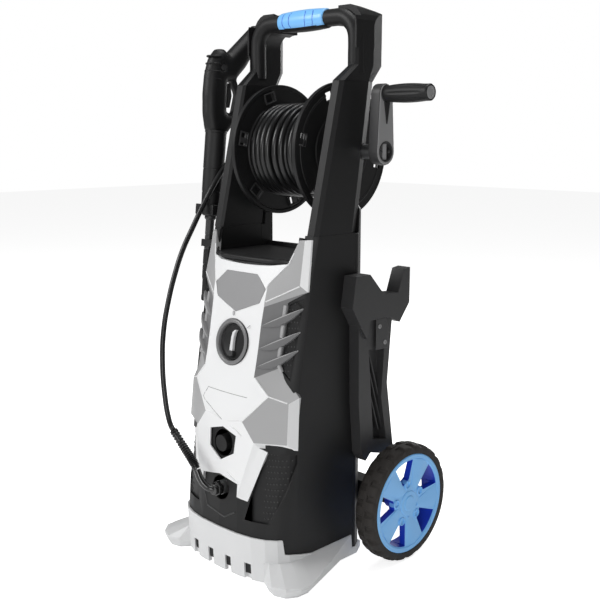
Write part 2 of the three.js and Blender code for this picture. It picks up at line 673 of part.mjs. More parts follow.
for (let i = 0; i < 3; i += 1) {
  const angle = (2 * Math.PI * i) / 3 + Math.PI / 6;
  const at = [pump.pistonCircle * Math.cos(angle), motor.y + pump.pistonCircle * Math.sin(angle), 0];
  block = block.subtract(rod('z', pump.pistonRadius + gap, 0, 200, at, 16));
  add(`pump_piston_${i + 1}`, rod('z', pump.pistonRadius, pump.bottom + gap, chamberFloor + 14, at, 16), 'steel');
}
add('pump_block', block, 'aluminium');
const headBottom = 58;
let head = turned('z', [
  [0, headBottom], [pump.radius - 3, headBottom], [pump.radius - 3, pump.bottom - gap], [0, pump.bottom - gap],
], motorAt);
head = head.add(box([-13, motor.y - pump.radius - 22, 64], [13, motor.y, 90]));
add('pump_head', head, 'aluminium');
const headFace = motor.y - pump.radius - 22;
add('unloader_valve', rod('x', 9, 14 + gap, 52, [0, headFace + 13, 77], 16), 'copper');
const windowY = frontY(outlet.z);
add('outlet_pipe', rod('z', 7, 90 + gap, outlet.z + 10, [0, headFace + 11, 0], 16)
  .add(rod('y', outlet.radius, windowY - 1, headFace + 11, [0, 0, outlet.z], 20)), 'aluminium');
const inletY = frontY(inlet.z) + 1;
const inletTail = pipe([
  [0, inletY + 23, inlet.z], [0, inletY + 30, inlet.z - 2], [20, inletY + 40, 170], [32, motor.y - 50, 120],
], 6, 8, 14);
add('inlet_connector', rod('y', inlet.radius, inletY - 5, inletY + 24, [0, 0, inlet.z], 24).add(inletTail), 'black');
add('capacitor', rod('z', 17, 205, 285, [66, 40, 0]), 'charcoal');
const glandAt = [gland.x, 0, gland.z];
add('cord_gland', rod('y', gland.radius, 70, 106, glandAt, 16).add(rod('y', 12, 89.5, 96, glandAt, 16)), 'black');

// ---- outlet elbow, strain relief and the supply hose ----
const nutY = windowY - 1 - gap;
const elbow = pipe([
  [0, nutY - 3, outlet.z], [0, nutY - 11, outlet.z], [-9, -144, outlet.z + 1], [-18, -149, 146], [-27, -151, 163],
], 5.5, 12, 14);
add('outlet_elbow', elbow.add(rod('y', outlet.radius - 1, nutY - 8, nutY, [0, 0, outlet.z], 6)), 'black');
const reliefPath = [
  [-27.6, -151.1, 164.1], [-32, -152, 171.5], [-43, -152.6, 182], [-60, -152.6, 195.5], [-82, -152, 213],
];
add('strain_relief', pipe(reliefPath, 6, 10, 10), 'black');
const hosePath = [
  [-127, 51, 646], [-127, 38, 645], [-126, 22, 638], [-126, 3, 625], [-127, -21, 597], [-132, -42, 562],
  [-135, -62, 527], [-136, -84, 490], [-134, -102, 454], [-131, -118, 415], [-127, -133, 366], [-119, -143, 318],
  [-106, -149.5, 262], [-97, -151, 233], [-89, -151.9, 219.5], [-82.8, -152, 213.7],
];
add('supply_hose', pipe(hosePath, 4.25, 8, 64), 'hose');

// ---- spray gun in its cradle ----
const lean = THREE.MathUtils.degToRad(gun.lean);
const gunX = -side - gun.barrelRadius - gun.standOff;
function gunGroup() {
  const leaning = new THREE.Group();
  leaning.position.set(gunX, gun.y, gun.z);
  leaning.rotation.x = -lean;
  washer.add(leaning);
  return leaning;
}
const gunParts = gunGroup();
const gunHalf = gun.width / 2;
const gunOutline = [
  [-20, gap], [-27, 26], [-30, 60], [-29, 92], [-23, 118], [-12, 133], [2, 135], [10, 128], [66, 186], [84, 168],
  [50, 112], [31, 90], [47, 66], [40, 26], [20, gap],
];
const fingerGap = [[12, 84], [22, 86], [36, 66], [31, 34], [14, 34]];
let gunBody = prism('x', gunOutline, -gunHalf, gunHalf).subtract(prism('x', fingerGap, -50, 50));
const lockAt = [0, -4, 104];
gunBody = gunBody.subtract(rod('x', 5 + gap, -50, 50, lockAt, 16));
add('gun_body', gunBody, 'black', gunParts);
add('trigger_lock', rod('x', 5, -gunHalf - 4, gunHalf - 1, lockAt, 16), 'grey', gunParts);
add('trigger', prism('x', [[13, 81], [19, 82], [24, 62], [21, 42], [16, 42], [17, 62]], -6, 6), 'charcoal', gunParts);
add('gun_barrel', rod('z', gun.barrelRadius, -gun.barrelLength, 0, [0, 0, 0], 24), 'black', gunParts);
const couplingFrame = new THREE.Matrix4().makeTranslation(0, 75.4, 177.4)
  .multiply(new THREE.Matrix4().makeRotationX(-Math.PI / 4));
add('gun_coupling', moved(rod('z', 8, gap, 20, [0, 0, 0], 16), couplingFrame), 'copper', gunParts);
add('lance_tube', rod('z', gun.lanceRadius, nozzle.top, -gun.barrelLength - gap, [0, 0, 0], 16), 'charcoal', gunParts);
const nozzleEnd = nozzle.top - nozzle.length;
add('nozzle', turned('z', [
  [0, nozzleEnd], [3, nozzleEnd], [nozzle.radius, nozzleEnd + 22], [nozzle.radius, nozzle.top - gap],
  [0, nozzle.top - gap],
], [0, 0, 0], 16), 'black', gunParts);

const cradleParts = gunGroup();
const reach = -side - gap - gunX;
function cradle(radius, depth, low, high) {
  const arms = box([-radius * 0.6, -depth, low], [reach, depth, high]);
  return arms.subtract(rod('z', radius, low - 5, high + 5, [0, 0, 0], 24));
}
add('gun_cradle', cradle(gun.barrelRadius + running, gun.barrelRadius + 4.5, -137, -120), 'black', cradleParts);
add('lance_clip', cradle(nozzle.radius + running, 12, -190, -178), 'black', cradleParts);

// ---- origin under the middle of the whole, on the ground ----
const freeHose = ['supply_hose', 'strain_relief'];
washer.updateWorldMatrix(true, true);
const bounds = new THREE.Box3();
washer.traverse((part) => {
  if (part.isMesh && !freeHose.includes(part.name)) bounds.expandByObject(part);
});
washer.position.set(-(bounds.min.x + bounds.max.x) / 2, -(bounds.min.y + bounds.max.y) / 2, -bounds.min.z);

export default group;
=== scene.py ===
import math

import bmesh
import bpy
from mathutils import Matrix, Vector
from mathutils.bvhtree import BVHTree


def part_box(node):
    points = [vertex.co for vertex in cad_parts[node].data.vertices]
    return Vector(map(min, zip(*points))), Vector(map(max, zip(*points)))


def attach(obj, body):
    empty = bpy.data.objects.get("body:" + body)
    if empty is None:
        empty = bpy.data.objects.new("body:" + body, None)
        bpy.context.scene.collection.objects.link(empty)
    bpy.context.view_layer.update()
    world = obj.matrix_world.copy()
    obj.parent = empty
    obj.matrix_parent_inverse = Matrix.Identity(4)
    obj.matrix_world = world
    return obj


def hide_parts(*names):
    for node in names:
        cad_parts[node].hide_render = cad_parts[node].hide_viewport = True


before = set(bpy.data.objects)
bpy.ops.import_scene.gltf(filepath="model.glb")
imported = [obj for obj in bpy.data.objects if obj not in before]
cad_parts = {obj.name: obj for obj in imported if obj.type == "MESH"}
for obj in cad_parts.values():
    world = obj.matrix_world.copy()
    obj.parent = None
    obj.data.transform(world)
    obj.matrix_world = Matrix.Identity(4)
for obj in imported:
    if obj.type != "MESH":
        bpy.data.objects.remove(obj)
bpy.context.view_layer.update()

print("frame loaded,", len(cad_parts), "nodes")

# pieces are drawn in millimetres round the middle plane, x = 0, with the ground at z = 0
axleLow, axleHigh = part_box("axle")
wheelAxle = Vector((0, 106.4, 95))
shift = (axleLow + axleHigh) / 2 - wheelAxle * 0.001
toRow = Matrix.Translation(shift) @ Matrix.Scale(0.001, 4)
fromRow = toRow.inverted()


def at(x, y, z):
    return toRow @ Vector((x, y, z))


sides = ((1, "right"), (-1, "left"))

# camera
view = {"place": (1038, -997, 676), "lens": 55.0, "forward": (-0.693, 0.698, -0.179)}
camera = bpy.data.objects.new("camera", bpy.data.cameras.new("camera"))
camera.data.lens = view["lens"]
camera.data.clip_start = 0.05
camera.location = at(*view["place"])
camera.rotation_euler = Vector(view["forward"]).to_track_quat("-Z", "Y").to_euler()
bpy.context.scene.collection.objects.link(camera)
bpy.context.scene.camera = camera


# shared effects
def newGroup(name, inputs, outputs):
    group = bpy.data.node_groups.new(name, "ShaderNodeTree")
    for label, kind, value in inputs:
        socket = group.interface.new_socket(name=label, in_out="INPUT", socket_type=kind)
        socket.default_value = value
    for label, kind in outputs:
        group.interface.new_socket(name=label, in_out="OUTPUT", socket_type=kind)
    return group, group.nodes.new("NodeGroupInput"), group.nodes.new("NodeGroupOutput")


def setInputs(node, values):
    for label, value in values.items():
        node.inputs[label].default_value = value


def newNode(nodes, kind, values, operation=None):
    node = nodes.new("ShaderNode" + kind)
    if operation:
        node.operation = operation
    setInputs(node, values)
    return node


def wire(tree, *rows):  # each row: a node, its output, a node, its input
    for source, output, target, slot in rows:
        tree.links.new(source.outputs[output], target.inputs[slot])


def mouldedGrain():  # fine spark-eroded texture, with a slow change of gloss
    group, given, made = newGroup(
        "mouldedGrain",
        [("Coordinates", "NodeSocketVector", (0, 0, 0)), ("Scale", "NodeSocketFloat", 900),
         ("Roughness", "NodeSocketFloat", 0.5), ("Change", "NodeSocketFloat", 0.08)],
        [("Height", "NodeSocketFloat"), ("Roughness", "NodeSocketFloat")],
    )
    nodes = group.nodes
    fine = newNode(nodes, "TexNoise", {"Detail": 2})
    slow = newNode(nodes, "TexNoise", {"Scale": 14, "Detail": 4})
    centred = newNode(nodes, "Math", {1: 0.5}, "SUBTRACT")
    scaled = newNode(nodes, "Math", {}, "MULTIPLY_ADD")
    wire(group,
         (given, "Coordinates", fine, "Vector"),
         (given, "Scale", fine, "Scale"),
         (given, "Coordinates", slow, "Vector"),
         (slow, "Fac", centred, 0),
         (centred, 0, scaled, 0),
         (given, "Change", scaled, 1),
         (given, "Roughness", scaled, 2),
         (fine, "Fac", made, "Height"),
         (scaled, 0, made, "Roughness"))
    return group


def handledColour():  # faint lighter and darker patches from handling, and a few specks of dust
    group, given, made = newGroup(
        "handledColour",
        [("Coordinates", "NodeSocketVector", (0, 0, 0)), ("Colour", "NodeSocketColor", (0.5, 0.5, 0.5, 1)),
         ("Worn", "NodeSocketColor", (0.6, 0.6, 0.6, 1)), ("Patches", "NodeSocketFloat", 0.15),
         ("Dust", "NodeSocketFloat", 0.05)],
        [("Colour", "NodeSocketColor")],
    )
    nodes = group.nodes
    patch = newNode(nodes, "TexNoise", {"Scale": 9, "Detail": 5})
    speck = newNode(nodes, "TexNoise", {"Scale": 420, "Detail": 1})
    ramp = newNode(nodes, "MapRange", {"From Min": 0.66, "From Max": 0.74})
    amount = newNode(nodes, "Math", {}, "MULTIPLY")
    dusty = newNode(nodes, "Math", {}, "MULTIPLY_ADD")
    mix = nodes.new("ShaderNodeMix")
    mix.data_type = "RGBA"
    wire(group,
         (given, "Coordinates", patch, "Vector"),
         (given, "Coordinates", speck, "Vector"),
         (patch, "Fac", amount, 0),
         (given, "Patches", amount, 1),
         (speck, "Fac", ramp, "Value"),
         (ramp, "Result", dusty, 0),
         (given, "Dust", dusty, 1),
         (amount, 0, dusty, 2),
         (dusty, 0, mix, "Factor"),
         (given, "Colour", mix, "A"),
         (given, "Worn", mix, "B"),
         (mix, "Result", made, "Colour"))
    return group


grainGroup = mouldedGrain()
colourGroup = handledColour()


# finishes
def newFinish(name, look):
    material = bpy.data.materials.new(name)
    material.use_nodes = True
    nodes = material.node_tree.nodes
    shader = nodes["Principled BSDF"]
    setInputs(shader, {
        "Metallic": look.get("metal", 0), "Specular IOR Level": look.get("specular", 0.5),
        "Coat Weight": look.get("coat", 0), "Coat Roughness": 0.2,
    })
    spot = nodes.new("ShaderNodeTexCoord")
    grain = nodes.new("ShaderNodeGroup")
    grain.node_tree = grainGroup
    setInputs(grain, {"Scale": look["grain"], "Roughness": look["rough"], "Change": 0.1})
    tint = nodes.new("ShaderNodeGroup")
    tint.node_tree = colourGroup
    setInputs(tint, {
        "Colour": (*look["colour"], 1), "Worn": (*look["worn"], 1),
        "Patches": look.get("patches", 0.2), "Dust": look.get("dust", 0.05),
    })
    bump = newNode(nodes, "Bump", {"Strength": look["bump"], "Distance": 0.0004})
    wire(material.node_tree,
         (spot, "Object", grain, "Coordinates"),
         (spot, "Object", tint, "Coordinates"),
         (tint, "Colour", shader, "Base Color"),
         (grain, "Roughness", shader, "Roughness"),
         (grain, "Height", bump, "Height"),
         (bump, "Normal", shader, "Normal"))
    return material


looks = {
    "black": {"slot": "black_plastic", "colour": (0.0062, 0.0062, 0.0066), "worn": (0.014, 0.014, 0.0145),
              "rough": 0.5, "grain": 1500, "bump": 0.2, "dust": 0.08, "specular": 0.34},
    "charcoal": {"slot": "charcoal_plastic", "colour": (0.03, 0.03, 0.031), "worn": (0.055, 0.055, 0.056),
                 "rough": 0.46, "grain": 1500, "bump": 0.2, "specular": 0.45},
    "light": {"slot": "light_plastic", "colour": (0.78, 0.785, 0.79), "worn": (0.7, 0.7, 0.7),
              "rough": 0.42, "grain": 1800, "bump": 0.06, "patches": 0.08, "dust": 0.03},
    # a darker copy of the light plastic: painted shade on the cover's side facets, and a painted highlight on
    # the fin tops and flank edge strips
    "paintedShadeAndHighlight": {"slot": "light_plastic", "colour": (0.35, 0.35, 0.354), "worn": (0.43, 0.43, 0.43),
              "rough": 0.4, "grain": 1800, "bump": 0.06, "patches": 0.25, "dust": 0.03},
    # the cover's mid-grey second tone; the same grey is also painted shade on the under-bevel, on faces
    # turned away from the front and on the groove lines
    "flank": {"slot": "light_plastic", "colour": (0.15, 0.15, 0.153), "worn": (0.19, 0.19, 0.19),
              "rough": 0.4, "grain": 1800, "bump": 0.08, "patches": 0.2, "dust": 0.04},
    "skirt": {"slot": "light_plastic", "colour": (0.66, 0.665, 0.67), "worn": (0.58, 0.58, 0.58),
              "rough": 0.44, "grain": 1800, "bump": 0.08, "patches": 0.12, "dust": 0.05},
    "ring": {"slot": "grey_plastic", "colour": (0.16, 0.16, 0.163), "worn": (0.2, 0.2, 0.2),
             "rough": 0.34, "grain": 1800, "bump": 0.06},
    "mid": {"slot": "grey_plastic", "colour": (0.27, 0.27, 0.275), "worn": (0.34, 0.34, 0.34),
            "rough": 0.36, "grain": 1800, "bump": 0.1},
    "blue": {"slot": "blue_plastic", "colour": (0.19, 0.5, 0.92), "worn": (0.24, 0.56, 0.93),
             "rough": 0.36, "grain": 1600, "bump": 0.08, "coat": 0.12, "dust": 0.02},
    # deep blue: used on the grip's finger marks, and as painted shade on the walls of the wheel openings
    "deepBlue": {"slot": "blue_plastic", "colour": (0.012, 0.05, 0.55), "worn": (0.02, 0.08, 0.58),
                 "rough": 0.42, "grain": 1600, "bump": 0.1, "dust": 0.02},
    "tyre": {"slot": "tyre_rubber", "colour": (0.024, 0.021, 0.019), "worn": (0.04, 0.036, 0.033),
             "rough": 0.7, "grain": 1100, "bump": 0.35, "dust": 0.1, "specular": 0.35},
    "hose": {"slot": "hose_rubber", "colour": (0.006, 0.006, 0.0063), "worn": (0.015, 0.015, 0.016),
             "rough": 0.32, "grain": 700, "bump": 0.08, "dust": 0.04},
    "gloss": {"slot": "black_plastic", "colour": (0.006, 0.006, 0.0063), "worn": (0.014, 0.014, 0.014),
              "rough": 0.2, "grain": 1500, "bump": 0.04, "coat": 0.35, "dust": 0.02},
    "satin": {"slot": "charcoal_plastic", "colour": (0.25, 0.25, 0.253), "worn": (0.3, 0.3, 0.3),
              "rough": 0.32, "grain": 1500, "bump": 0.14},
    "steel": {"slot": "steel", "colour": (0.55, 0.56, 0.57), "worn": (0.4, 0.4, 0.4),
              "rough": 0.3, "grain": 1200, "bump": 0.06, "metal": 1},
    "silver": {"slot": "grey_plastic", "colour": (0.7, 0.7, 0.71), "worn": (0.6, 0.6, 0.6),
               "rough": 0.26, "grain": 1200, "bump": 0.04, "patches": 0.1},
    "aluminium": {"slot": "aluminium", "colour": (0.6, 0.61, 0.62), "worn": (0.45, 0.45, 0.45),
                  "rough": 0.42, "grain": 800, "bump": 0.2, "metal": 1},
    "brass": {"slot": "brass", "colour": (0.62, 0.42, 0.16), "worn": (0.4, 0.27, 0.1),
              "rough": 0.3, "grain": 900, "bump": 0.05, "metal": 1},
}
finishes = {name: newFinish(name, look) for name, look in looks.items()}
print("finishes made")


# making pieces
def register(piece, body, nodes):
    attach(piece, body)
    if nodes:
        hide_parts(*nodes)
    return piece


def finishPiece(name, bm, body, finish, nodes=(), bevel=0.0, segments=2, angle=30, place=toRow, extra=()):
    bmesh.ops.transform(bm, matrix=place, verts=bm.verts)
    for face in bm.faces:
        face.smooth = True
    mesh = bpy.data.meshes.new(name)
    bm.to_mesh(mesh)
    bm.free()
    mesh.set_sharp_from_angle(angle=math.radians(angle))
    piece = bpy.data.objects.new(name, mesh)
    bpy.context.scene.collection.objects.link(piece)
    for label in (finish, *extra):
        mesh.materials.append(finishes[label])
    if bevel:
        rounded = piece.modifiers.new("rounded", "BEVEL")
        rounded.width = bevel * 0.001
        rounded.segments = segments
        rounded.limit_method = "ANGLE"
        rounded.angle_limit = math.radians(angle)
        rounded.miter_outer = "MITER_ARC"
        weighted = piece.modifiers.new("weighted", "WEIGHTED_NORMAL")
        weighted.keep_sharp = True
    return register(piece, body, nodes)


def cadShape(node):  # a merged copy of a node's mesh, in millimetres
    bm = bmesh.new()
    bm.from_mesh(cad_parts[node].data)
    bmesh.ops.transform(bm, matrix=fromRow, verts=bm.verts)
    bmesh.ops.remove_doubles(bm, verts=bm.verts, dist=0.005)
    bmesh.ops.dissolve_limit(bm, angle_limit=math.radians(1.2), verts=bm.verts, edges=bm.edges)
    return bm


def spun(bm, axis, profile, centre, steps=64):  # a [radius, height] profile turned about an axis
    points = []
    for radius, height in profile:
        local = Vector((height, radius, 0)) if axis == "x" else Vector((radius, 0, height))
        points.append(bm.verts.new(local + Vector(centre)))
    edges = [bm.edges.new(pair) for pair in zip(points, points[1:])]
    around = Vector((1, 0, 0)) if axis == "x" else Vector((0, 0, 1))
    bmesh.ops.spin(bm, geom=points + edges, cent=centre, axis=around, dvec=(0, 0, 0),
                   angle=math.tau, steps=steps, use_merge=True, use_duplicate=False)
    bmesh.ops.remove_doubles(bm, verts=bm.verts, dist=0.002)
    bmesh.ops.recalc_face_normals(bm, faces=bm.faces)
    return bm


def vertsOf(geometry):
    return [part for part in geometry if isinstance(part, bmesh.types.BMVert)]


def pointing(spot, direction):  # a place at spot whose z runs along direction
    return Matrix.Translation(spot) @ Vector(direction).to_track_quat("Z", "Y").to_matrix().to_4x4()


def sideways(x, side=1):  # a place at x whose plane is y and z, and whose z runs to the side
    return Matrix(((0, 0, side, x), (1, 0, 0, 0), (0, 1, 0, 0), (0, 0, 0, 1)))


def rod(bm, place, radius, depth, segments, tip=None):  # a closed round or many-sided bar along z
    bmesh.ops.create_cone(bm, cap_ends=True, segments=segments, radius1=radius,
                          radius2=radius if tip is None else tip, depth=depth, matrix=place)


def plate(bm, outline, depth, place=Matrix.Identity(4)):  # an outline in x and y, pushed up z by depth
    verts = [bm.verts.new(place @ Vector((x, y, 0))) for x, y in outline]
    face = bm.faces.new(verts)
    push = place.to_3x3() @ Vector((0, 0, depth))
    grown = bmesh.ops.extrude_face_region(bm, geom=[face])["geom"]
    bmesh.ops.translate(bm, vec=push, verts=vertsOf(grown))
    bmesh.ops.recalc_face_normals(bm, faces=bm.faces)
    return bm


def block(bm, low, high, place=Matrix.Identity(4)):
    size = [b - a for a, b in zip(low, high)]
    middle = [(a + b) / 2 for a, b in zip(low, high)]
    matrix = place @ Matrix.Translation(middle) @ Matrix.Diagonal((*size, 1))
    bmesh.ops.create_cube(bm, size=1, matrix=matrix)


def alongX(outline, low, high):  # (y, z) outline from low to high in x
    return plate(bmesh.new(), outline, high - low, sideways(low))


def alongY(outline, low, high):  # (x, z) outline from low to high in y
    turn = Matrix(((1, 0, 0, 0), (0, 0, 1, low), (0, 1, 0, 0), (0, 0, 0, 1)))
    return plate(bmesh.new(), outline, high - low, turn)


def standIn(bm):  # an object that holds a shape while modifiers work on it
    mesh = bpy.data.meshes.new("shape")
    bm.to_mesh(mesh)
    bm.free()
    holder = bpy.data.objects.new("shape", mesh)
    bpy.context.scene.collection.objects.link(holder)
    return holder


def worked(holder):  # what its modifiers make of it
    bpy.context.view_layer.update()
    held = holder.evaluated_get(bpy.context.evaluated_depsgraph_get())
    bm = bmesh.new()
    bm.from_mesh(held.to_mesh())
    held.to_mesh_clear()
    return bm


def cut(bm, tools):  # takes the tools out of bm, and gives the rest back
    holders = [standIn(shape) for shape in (bm, *tools)]
    for tool in holders[1:]:
        modifier = holders[0].modifiers.new("cut", "BOOLEAN")
        modifier.operation = "DIFFERENCE"
        modifier.solver = "EXACT"
        modifier.object = tool
    rest = worked(holders[0])
    for holder in holders:
        bpy.data.objects.remove(holder)
    bmesh.ops.remove_doubles(rest, verts=rest.verts, dist=0.01)
    return rest


def softened(bm, voxel, rounds):  # a moulded, rounded form of a shape
    holder = standIn(bm)
    remesh = holder.modifiers.new("remesh", "REMESH")
    remesh.mode = "VOXEL"
    remesh.voxel_size = voxel
    smooth = holder.modifiers.new("smooth", "SMOOTH")
    smooth.factor = 0.5
    smooth.iterations = rounds
    rest = worked(holder)
    bpy.data.objects.remove(holder)
    return rest


def tube(name, points, radius, body, finish, nodes=()):
    curve = bpy.data.curves.new(name, "CURVE")
    curve.dimensions = "3D"
    curve.bevel_depth = radius * 0.001
    curve.bevel_resolution = 6
    curve.use_fill_caps = True
    spline = curve.splines.new("BEZIER")
    spline.bezier_points.add(len(points) - 1)
    for knot, point in zip(spline.bezier_points, points):
        knot.co = at(*point)
        knot.handle_left_type = knot.handle_right_type = "AUTO"
    spline.resolution_u = 10
    piece = bpy.data.objects.new(name, curve)
    bpy.context.scene.collection.objects.link(piece)
    curve.materials.append(finishes[finish])
    return register(piece, body, nodes)


def mirrorX(bm):  # adds the other half
    bmesh.ops.mirror(bm, geom=bm.verts[:] + bm.edges[:] + bm.faces[:], axis="X", merge_dist=0.01)
    bmesh.ops.recalc_face_normals(bm, faces=bm.faces)


# supply hose
hose = {
    "route": [
        (-127, 51, 646), (-127, 38, 645), (-126, 22, 638), (-126, 3, 625), (-127, -21, 597), (-132, -42, 562),
        (-135, -62, 527), (-136, -84, 490), (-134, -102, 454), (-131, -118, 415), (-127, -133, 366),
        (-119, -143, 318), (-106, -149.5, 262), (-97, -151, 233), (-89, -151.9, 219.5), (-82.8, -152, 213.7),
    ],
    "diameter": 8.5,
    "elbow": [(0, -129.3, 135), (0, -136, 135), (-3, -141, 135.4), (-9, -145, 137.5),
              (-18, -149, 146), (-27, -151, 163)],
    "relief": [(-27.6, -151.1, 164.1), (-32, -152, 171.5), (-43, -152.6, 182),
               (-60, -152.6, 195.5), (-82, -152, 213)],
}


def reliefShape():  # a tapered sleeve with rings along it
    path = [Vector(p) for p in hose["relief"]]
    dense = []
    for i in range(len(path) - 1):
        before = path[max(i - 1, 0)]
        after = path[min(i + 2, len(path) - 1)]
        for step in range(22):
            t = step / 22
            a, b = path[i], path[i + 1]
            slopeA, slopeB = (b - before) / 2, (after - a) / 2
            dense.append((2 * t**3 - 3 * t**2 + 1) * a + (t**3 - 2 * t**2 + t) * slopeA
                         + (3 * t**2 - 2 * t**3) * b + (t**3 - t**2) * slopeB)
    dense.append(path[-1])
    bm = bmesh.new()
    rings = []
    last = len(dense) - 1
    for i, point in enumerate(dense):
        ahead = (dense[min(i + 1, last)] - dense[max(i - 1, 0)]).normalized()
        ridge = 1.7 if (i // 2) % 2 == 0 and i > 12 else 0
        radius = 5.9 - 0.9 * i / last + ridge
        ring = bmesh.ops.create_circle(bm, segments=20, radius=radius, matrix=pointing(point, ahead))["verts"]
        rings.append(list({edge for vert in ring for edge in vert.link_edges}))
    for first, second in zip(rings, rings[1:]):
        bmesh.ops.bridge_loops(bm, edges=first + second)
    for end in (rings[0], rings[-1]):
        bmesh.ops.contextual_create(bm, geom=end)
    bmesh.ops.recalc_face_normals(bm, faces=bm.faces)
    return bm


relief = finishPiece("ribbed_strain_relief", reliefShape(), "washer", "hose", ["strain_relief"], angle=50)
supply = tube("high_pressure_hose", hose["route"], hose["diameter"] / 2, "washer", "hose", ["supply_hose"])
tube("outlet_bend", hose["elbow"], 5.6, "washer", "gloss", ["outlet_elbow"])
nut = bmesh.new()
for y, radius, depth, segments in ((-133, 12, 9, 6), (-138.5, 8.5, 8, 32)):
    rod(nut, Matrix.Translation((0, y, 135)) @ Matrix.Rotation(math.pi / 2, 4, "X"), radius, depth, segments)
finishPiece("outlet_nut", nut, "washer", "gloss", bevel=1.0, segments=3)
print("hose, bend and strain relief made")

# the housing's front line
frontTable = [
    (0, -128, 62, 2.6), (74, -132, 62, 2.6), (140, -126.5, 56, 2.4), (207, -120, 50, 2.1),
    (300, -108, 38, 1.7), (362, -95.5, 34, 1.6), (420, -85.5, 34, 1.6), (471, -74, 32, 1.6),
    (530, -58.5, 30, 1.6),
]
coverSkin = 3.2


def stationAt(z):  # y at the middle, depth of the corner, roundness
    for low, high in zip(frontTable, frontTable[1:]):
        if z <= high[0]:
            share = (z - low[0]) / (high[0] - low[0])
            return [a + share * (b - a) for a, b in zip(low[1:], high[1:])]
    return frontTable[-1][1:]


def coverY(x, z):  # flat across the face, then round to the sides
    middle, depth, roundness = stationAt(z)
    share = min(abs(x) / (117 + coverSkin), 0.9995)
    rounded = (depth + coverSkin) * (1 - (1 - share**roundness) ** (1 / roundness))
    flat = coverSkin * (x / 57) ** 2
    return middle - coverSkin + (flat if abs(x) <= 61 else rounded)  # the face ends 61 from the middle


# front cover
cover = {
    "faceRows": [
        [(0, 480), (28, 480.5), (56, 482), (84, 486)],
        [(0, 457), (20, 457), (40, 457), (60, 457)],
        [(0, 431), (19.5, 431), (39, 431), (58.5, 431)],
        [(0, 422), (19.3, 422), (38.6, 422), (58, 422)],
        [(0, 394), (19, 394), (38, 394), (57, 394)],
        [(0, 362), (19, 362), (38, 362), (57, 362)],
        [(0, 340), (19, 340), (38, 340), (57, 340)],
        [(0, 317), (19, 317), (38, 317), (57, 317)],
        [(0, 296), (27, 295), (55, 293.5), (84, 292)],
        [(0, 242), (14, 243.5), (28, 246), (42, 249)],
        [(0, 222), (22, 221), (45, 220), (66, 220)],
        [(0, 180), (18, 179), (37, 178), (55.5, 177)],
        [(0, 158), (20, 154.5), (40, 151), (42, 132)],
    ],
    "ear": [(84, 486), (88, 503), (94, 521), (103, 521.5), (107, 456), (58.5, 431), (60, 457)],
    "earEdge": [(103, 521.5), (111, 522), (116, 447), (107, 456)],
    "veeEdge": [(58.5, 431), (107, 456), (116, 447), (58, 422)],
    "veeUnder": [(58, 422), (116, 447), (90, 430)],
    "flank": [(58, 422), (57, 394), (57, 362), (57, 340), (57, 317)],
    "flankOut": [(90, 430), (90, 400), (90, 372), (90, 352), (90, 334)],
    "wingTop": [(57, 317), (90, 334), (119.5, 292), (111, 284), (84, 292)],
    "wingSide": [(84, 292), (111, 284), (113, 222), (66, 220), (42, 249)],
    "wingEdge": [(111, 284), (119.5, 292), (119.6, 211), (113, 222)],
    "veeLow": [(66, 220), (113, 222), (119.6, 211), (73, 213)],
    "legSide": [(73, 213), (86, 208), (60, 128), (48, 130), (62, 176)],
    "legEdge": [(66, 220), (73, 213), (62, 176), (48, 130), (42, 132), (55.5, 177)],
    "proud": {
        (84, 292): 5, (42, 249): 2.5, (58, 422): 1, (57, 394): 1.5, (57, 362): 1.5, (57, 340): 1.5,
        (57, 317): 2, (58.5, 431): 2, (60, 457): 2, (107, 456): 3, (103, 521.5): 2, (111, 284): 3.5,
        (113, 222): 5,
        (66, 220): 3, (55.5, 177): 2, (42, 132): 2, (90, 334): -1.5, (90, 352): -1.8, (90, 372): -1.8,
        (90, 400): -1.8, (90, 430): -1.8, (86, 208): -1.6, (60, 128): -2.7,
    },
    "walls": {"edge": 3, "top": 11, "flank": 15, "leg": 25},
    "wall": 2.2,
    "finTips": [418, 384, 357],
    "grooves": [[(-44, 285), (-55, 268), (-30, 254), (-4, 242)], [(-44, 285), (-10, 285), (46, 285)]],
    "ridges": [[(16, 236), (28, 232), (40, 226)], [(16, 163), (30, 157), (42, 152)]],
    "sideRidges": [[(89, 502), (84, 487), (61, 457.5), (57.5, 449)], [(106, 455), (60, 430)],
                   [(82, 291), (43, 249.5), (8, 242.5)], [(58, 317), (83, 292.5), (109, 284.5)]],
    "edgeStrips": [[(90, 426), (90, 408)], [(90, 397), (90, 378)], [(90, 366), (90, 350)],
                   [(90, 340), (96, 328)]],
    "lowerHex": [(-44, 128), (-30, 98), (12, 91), (34, 104)],
}


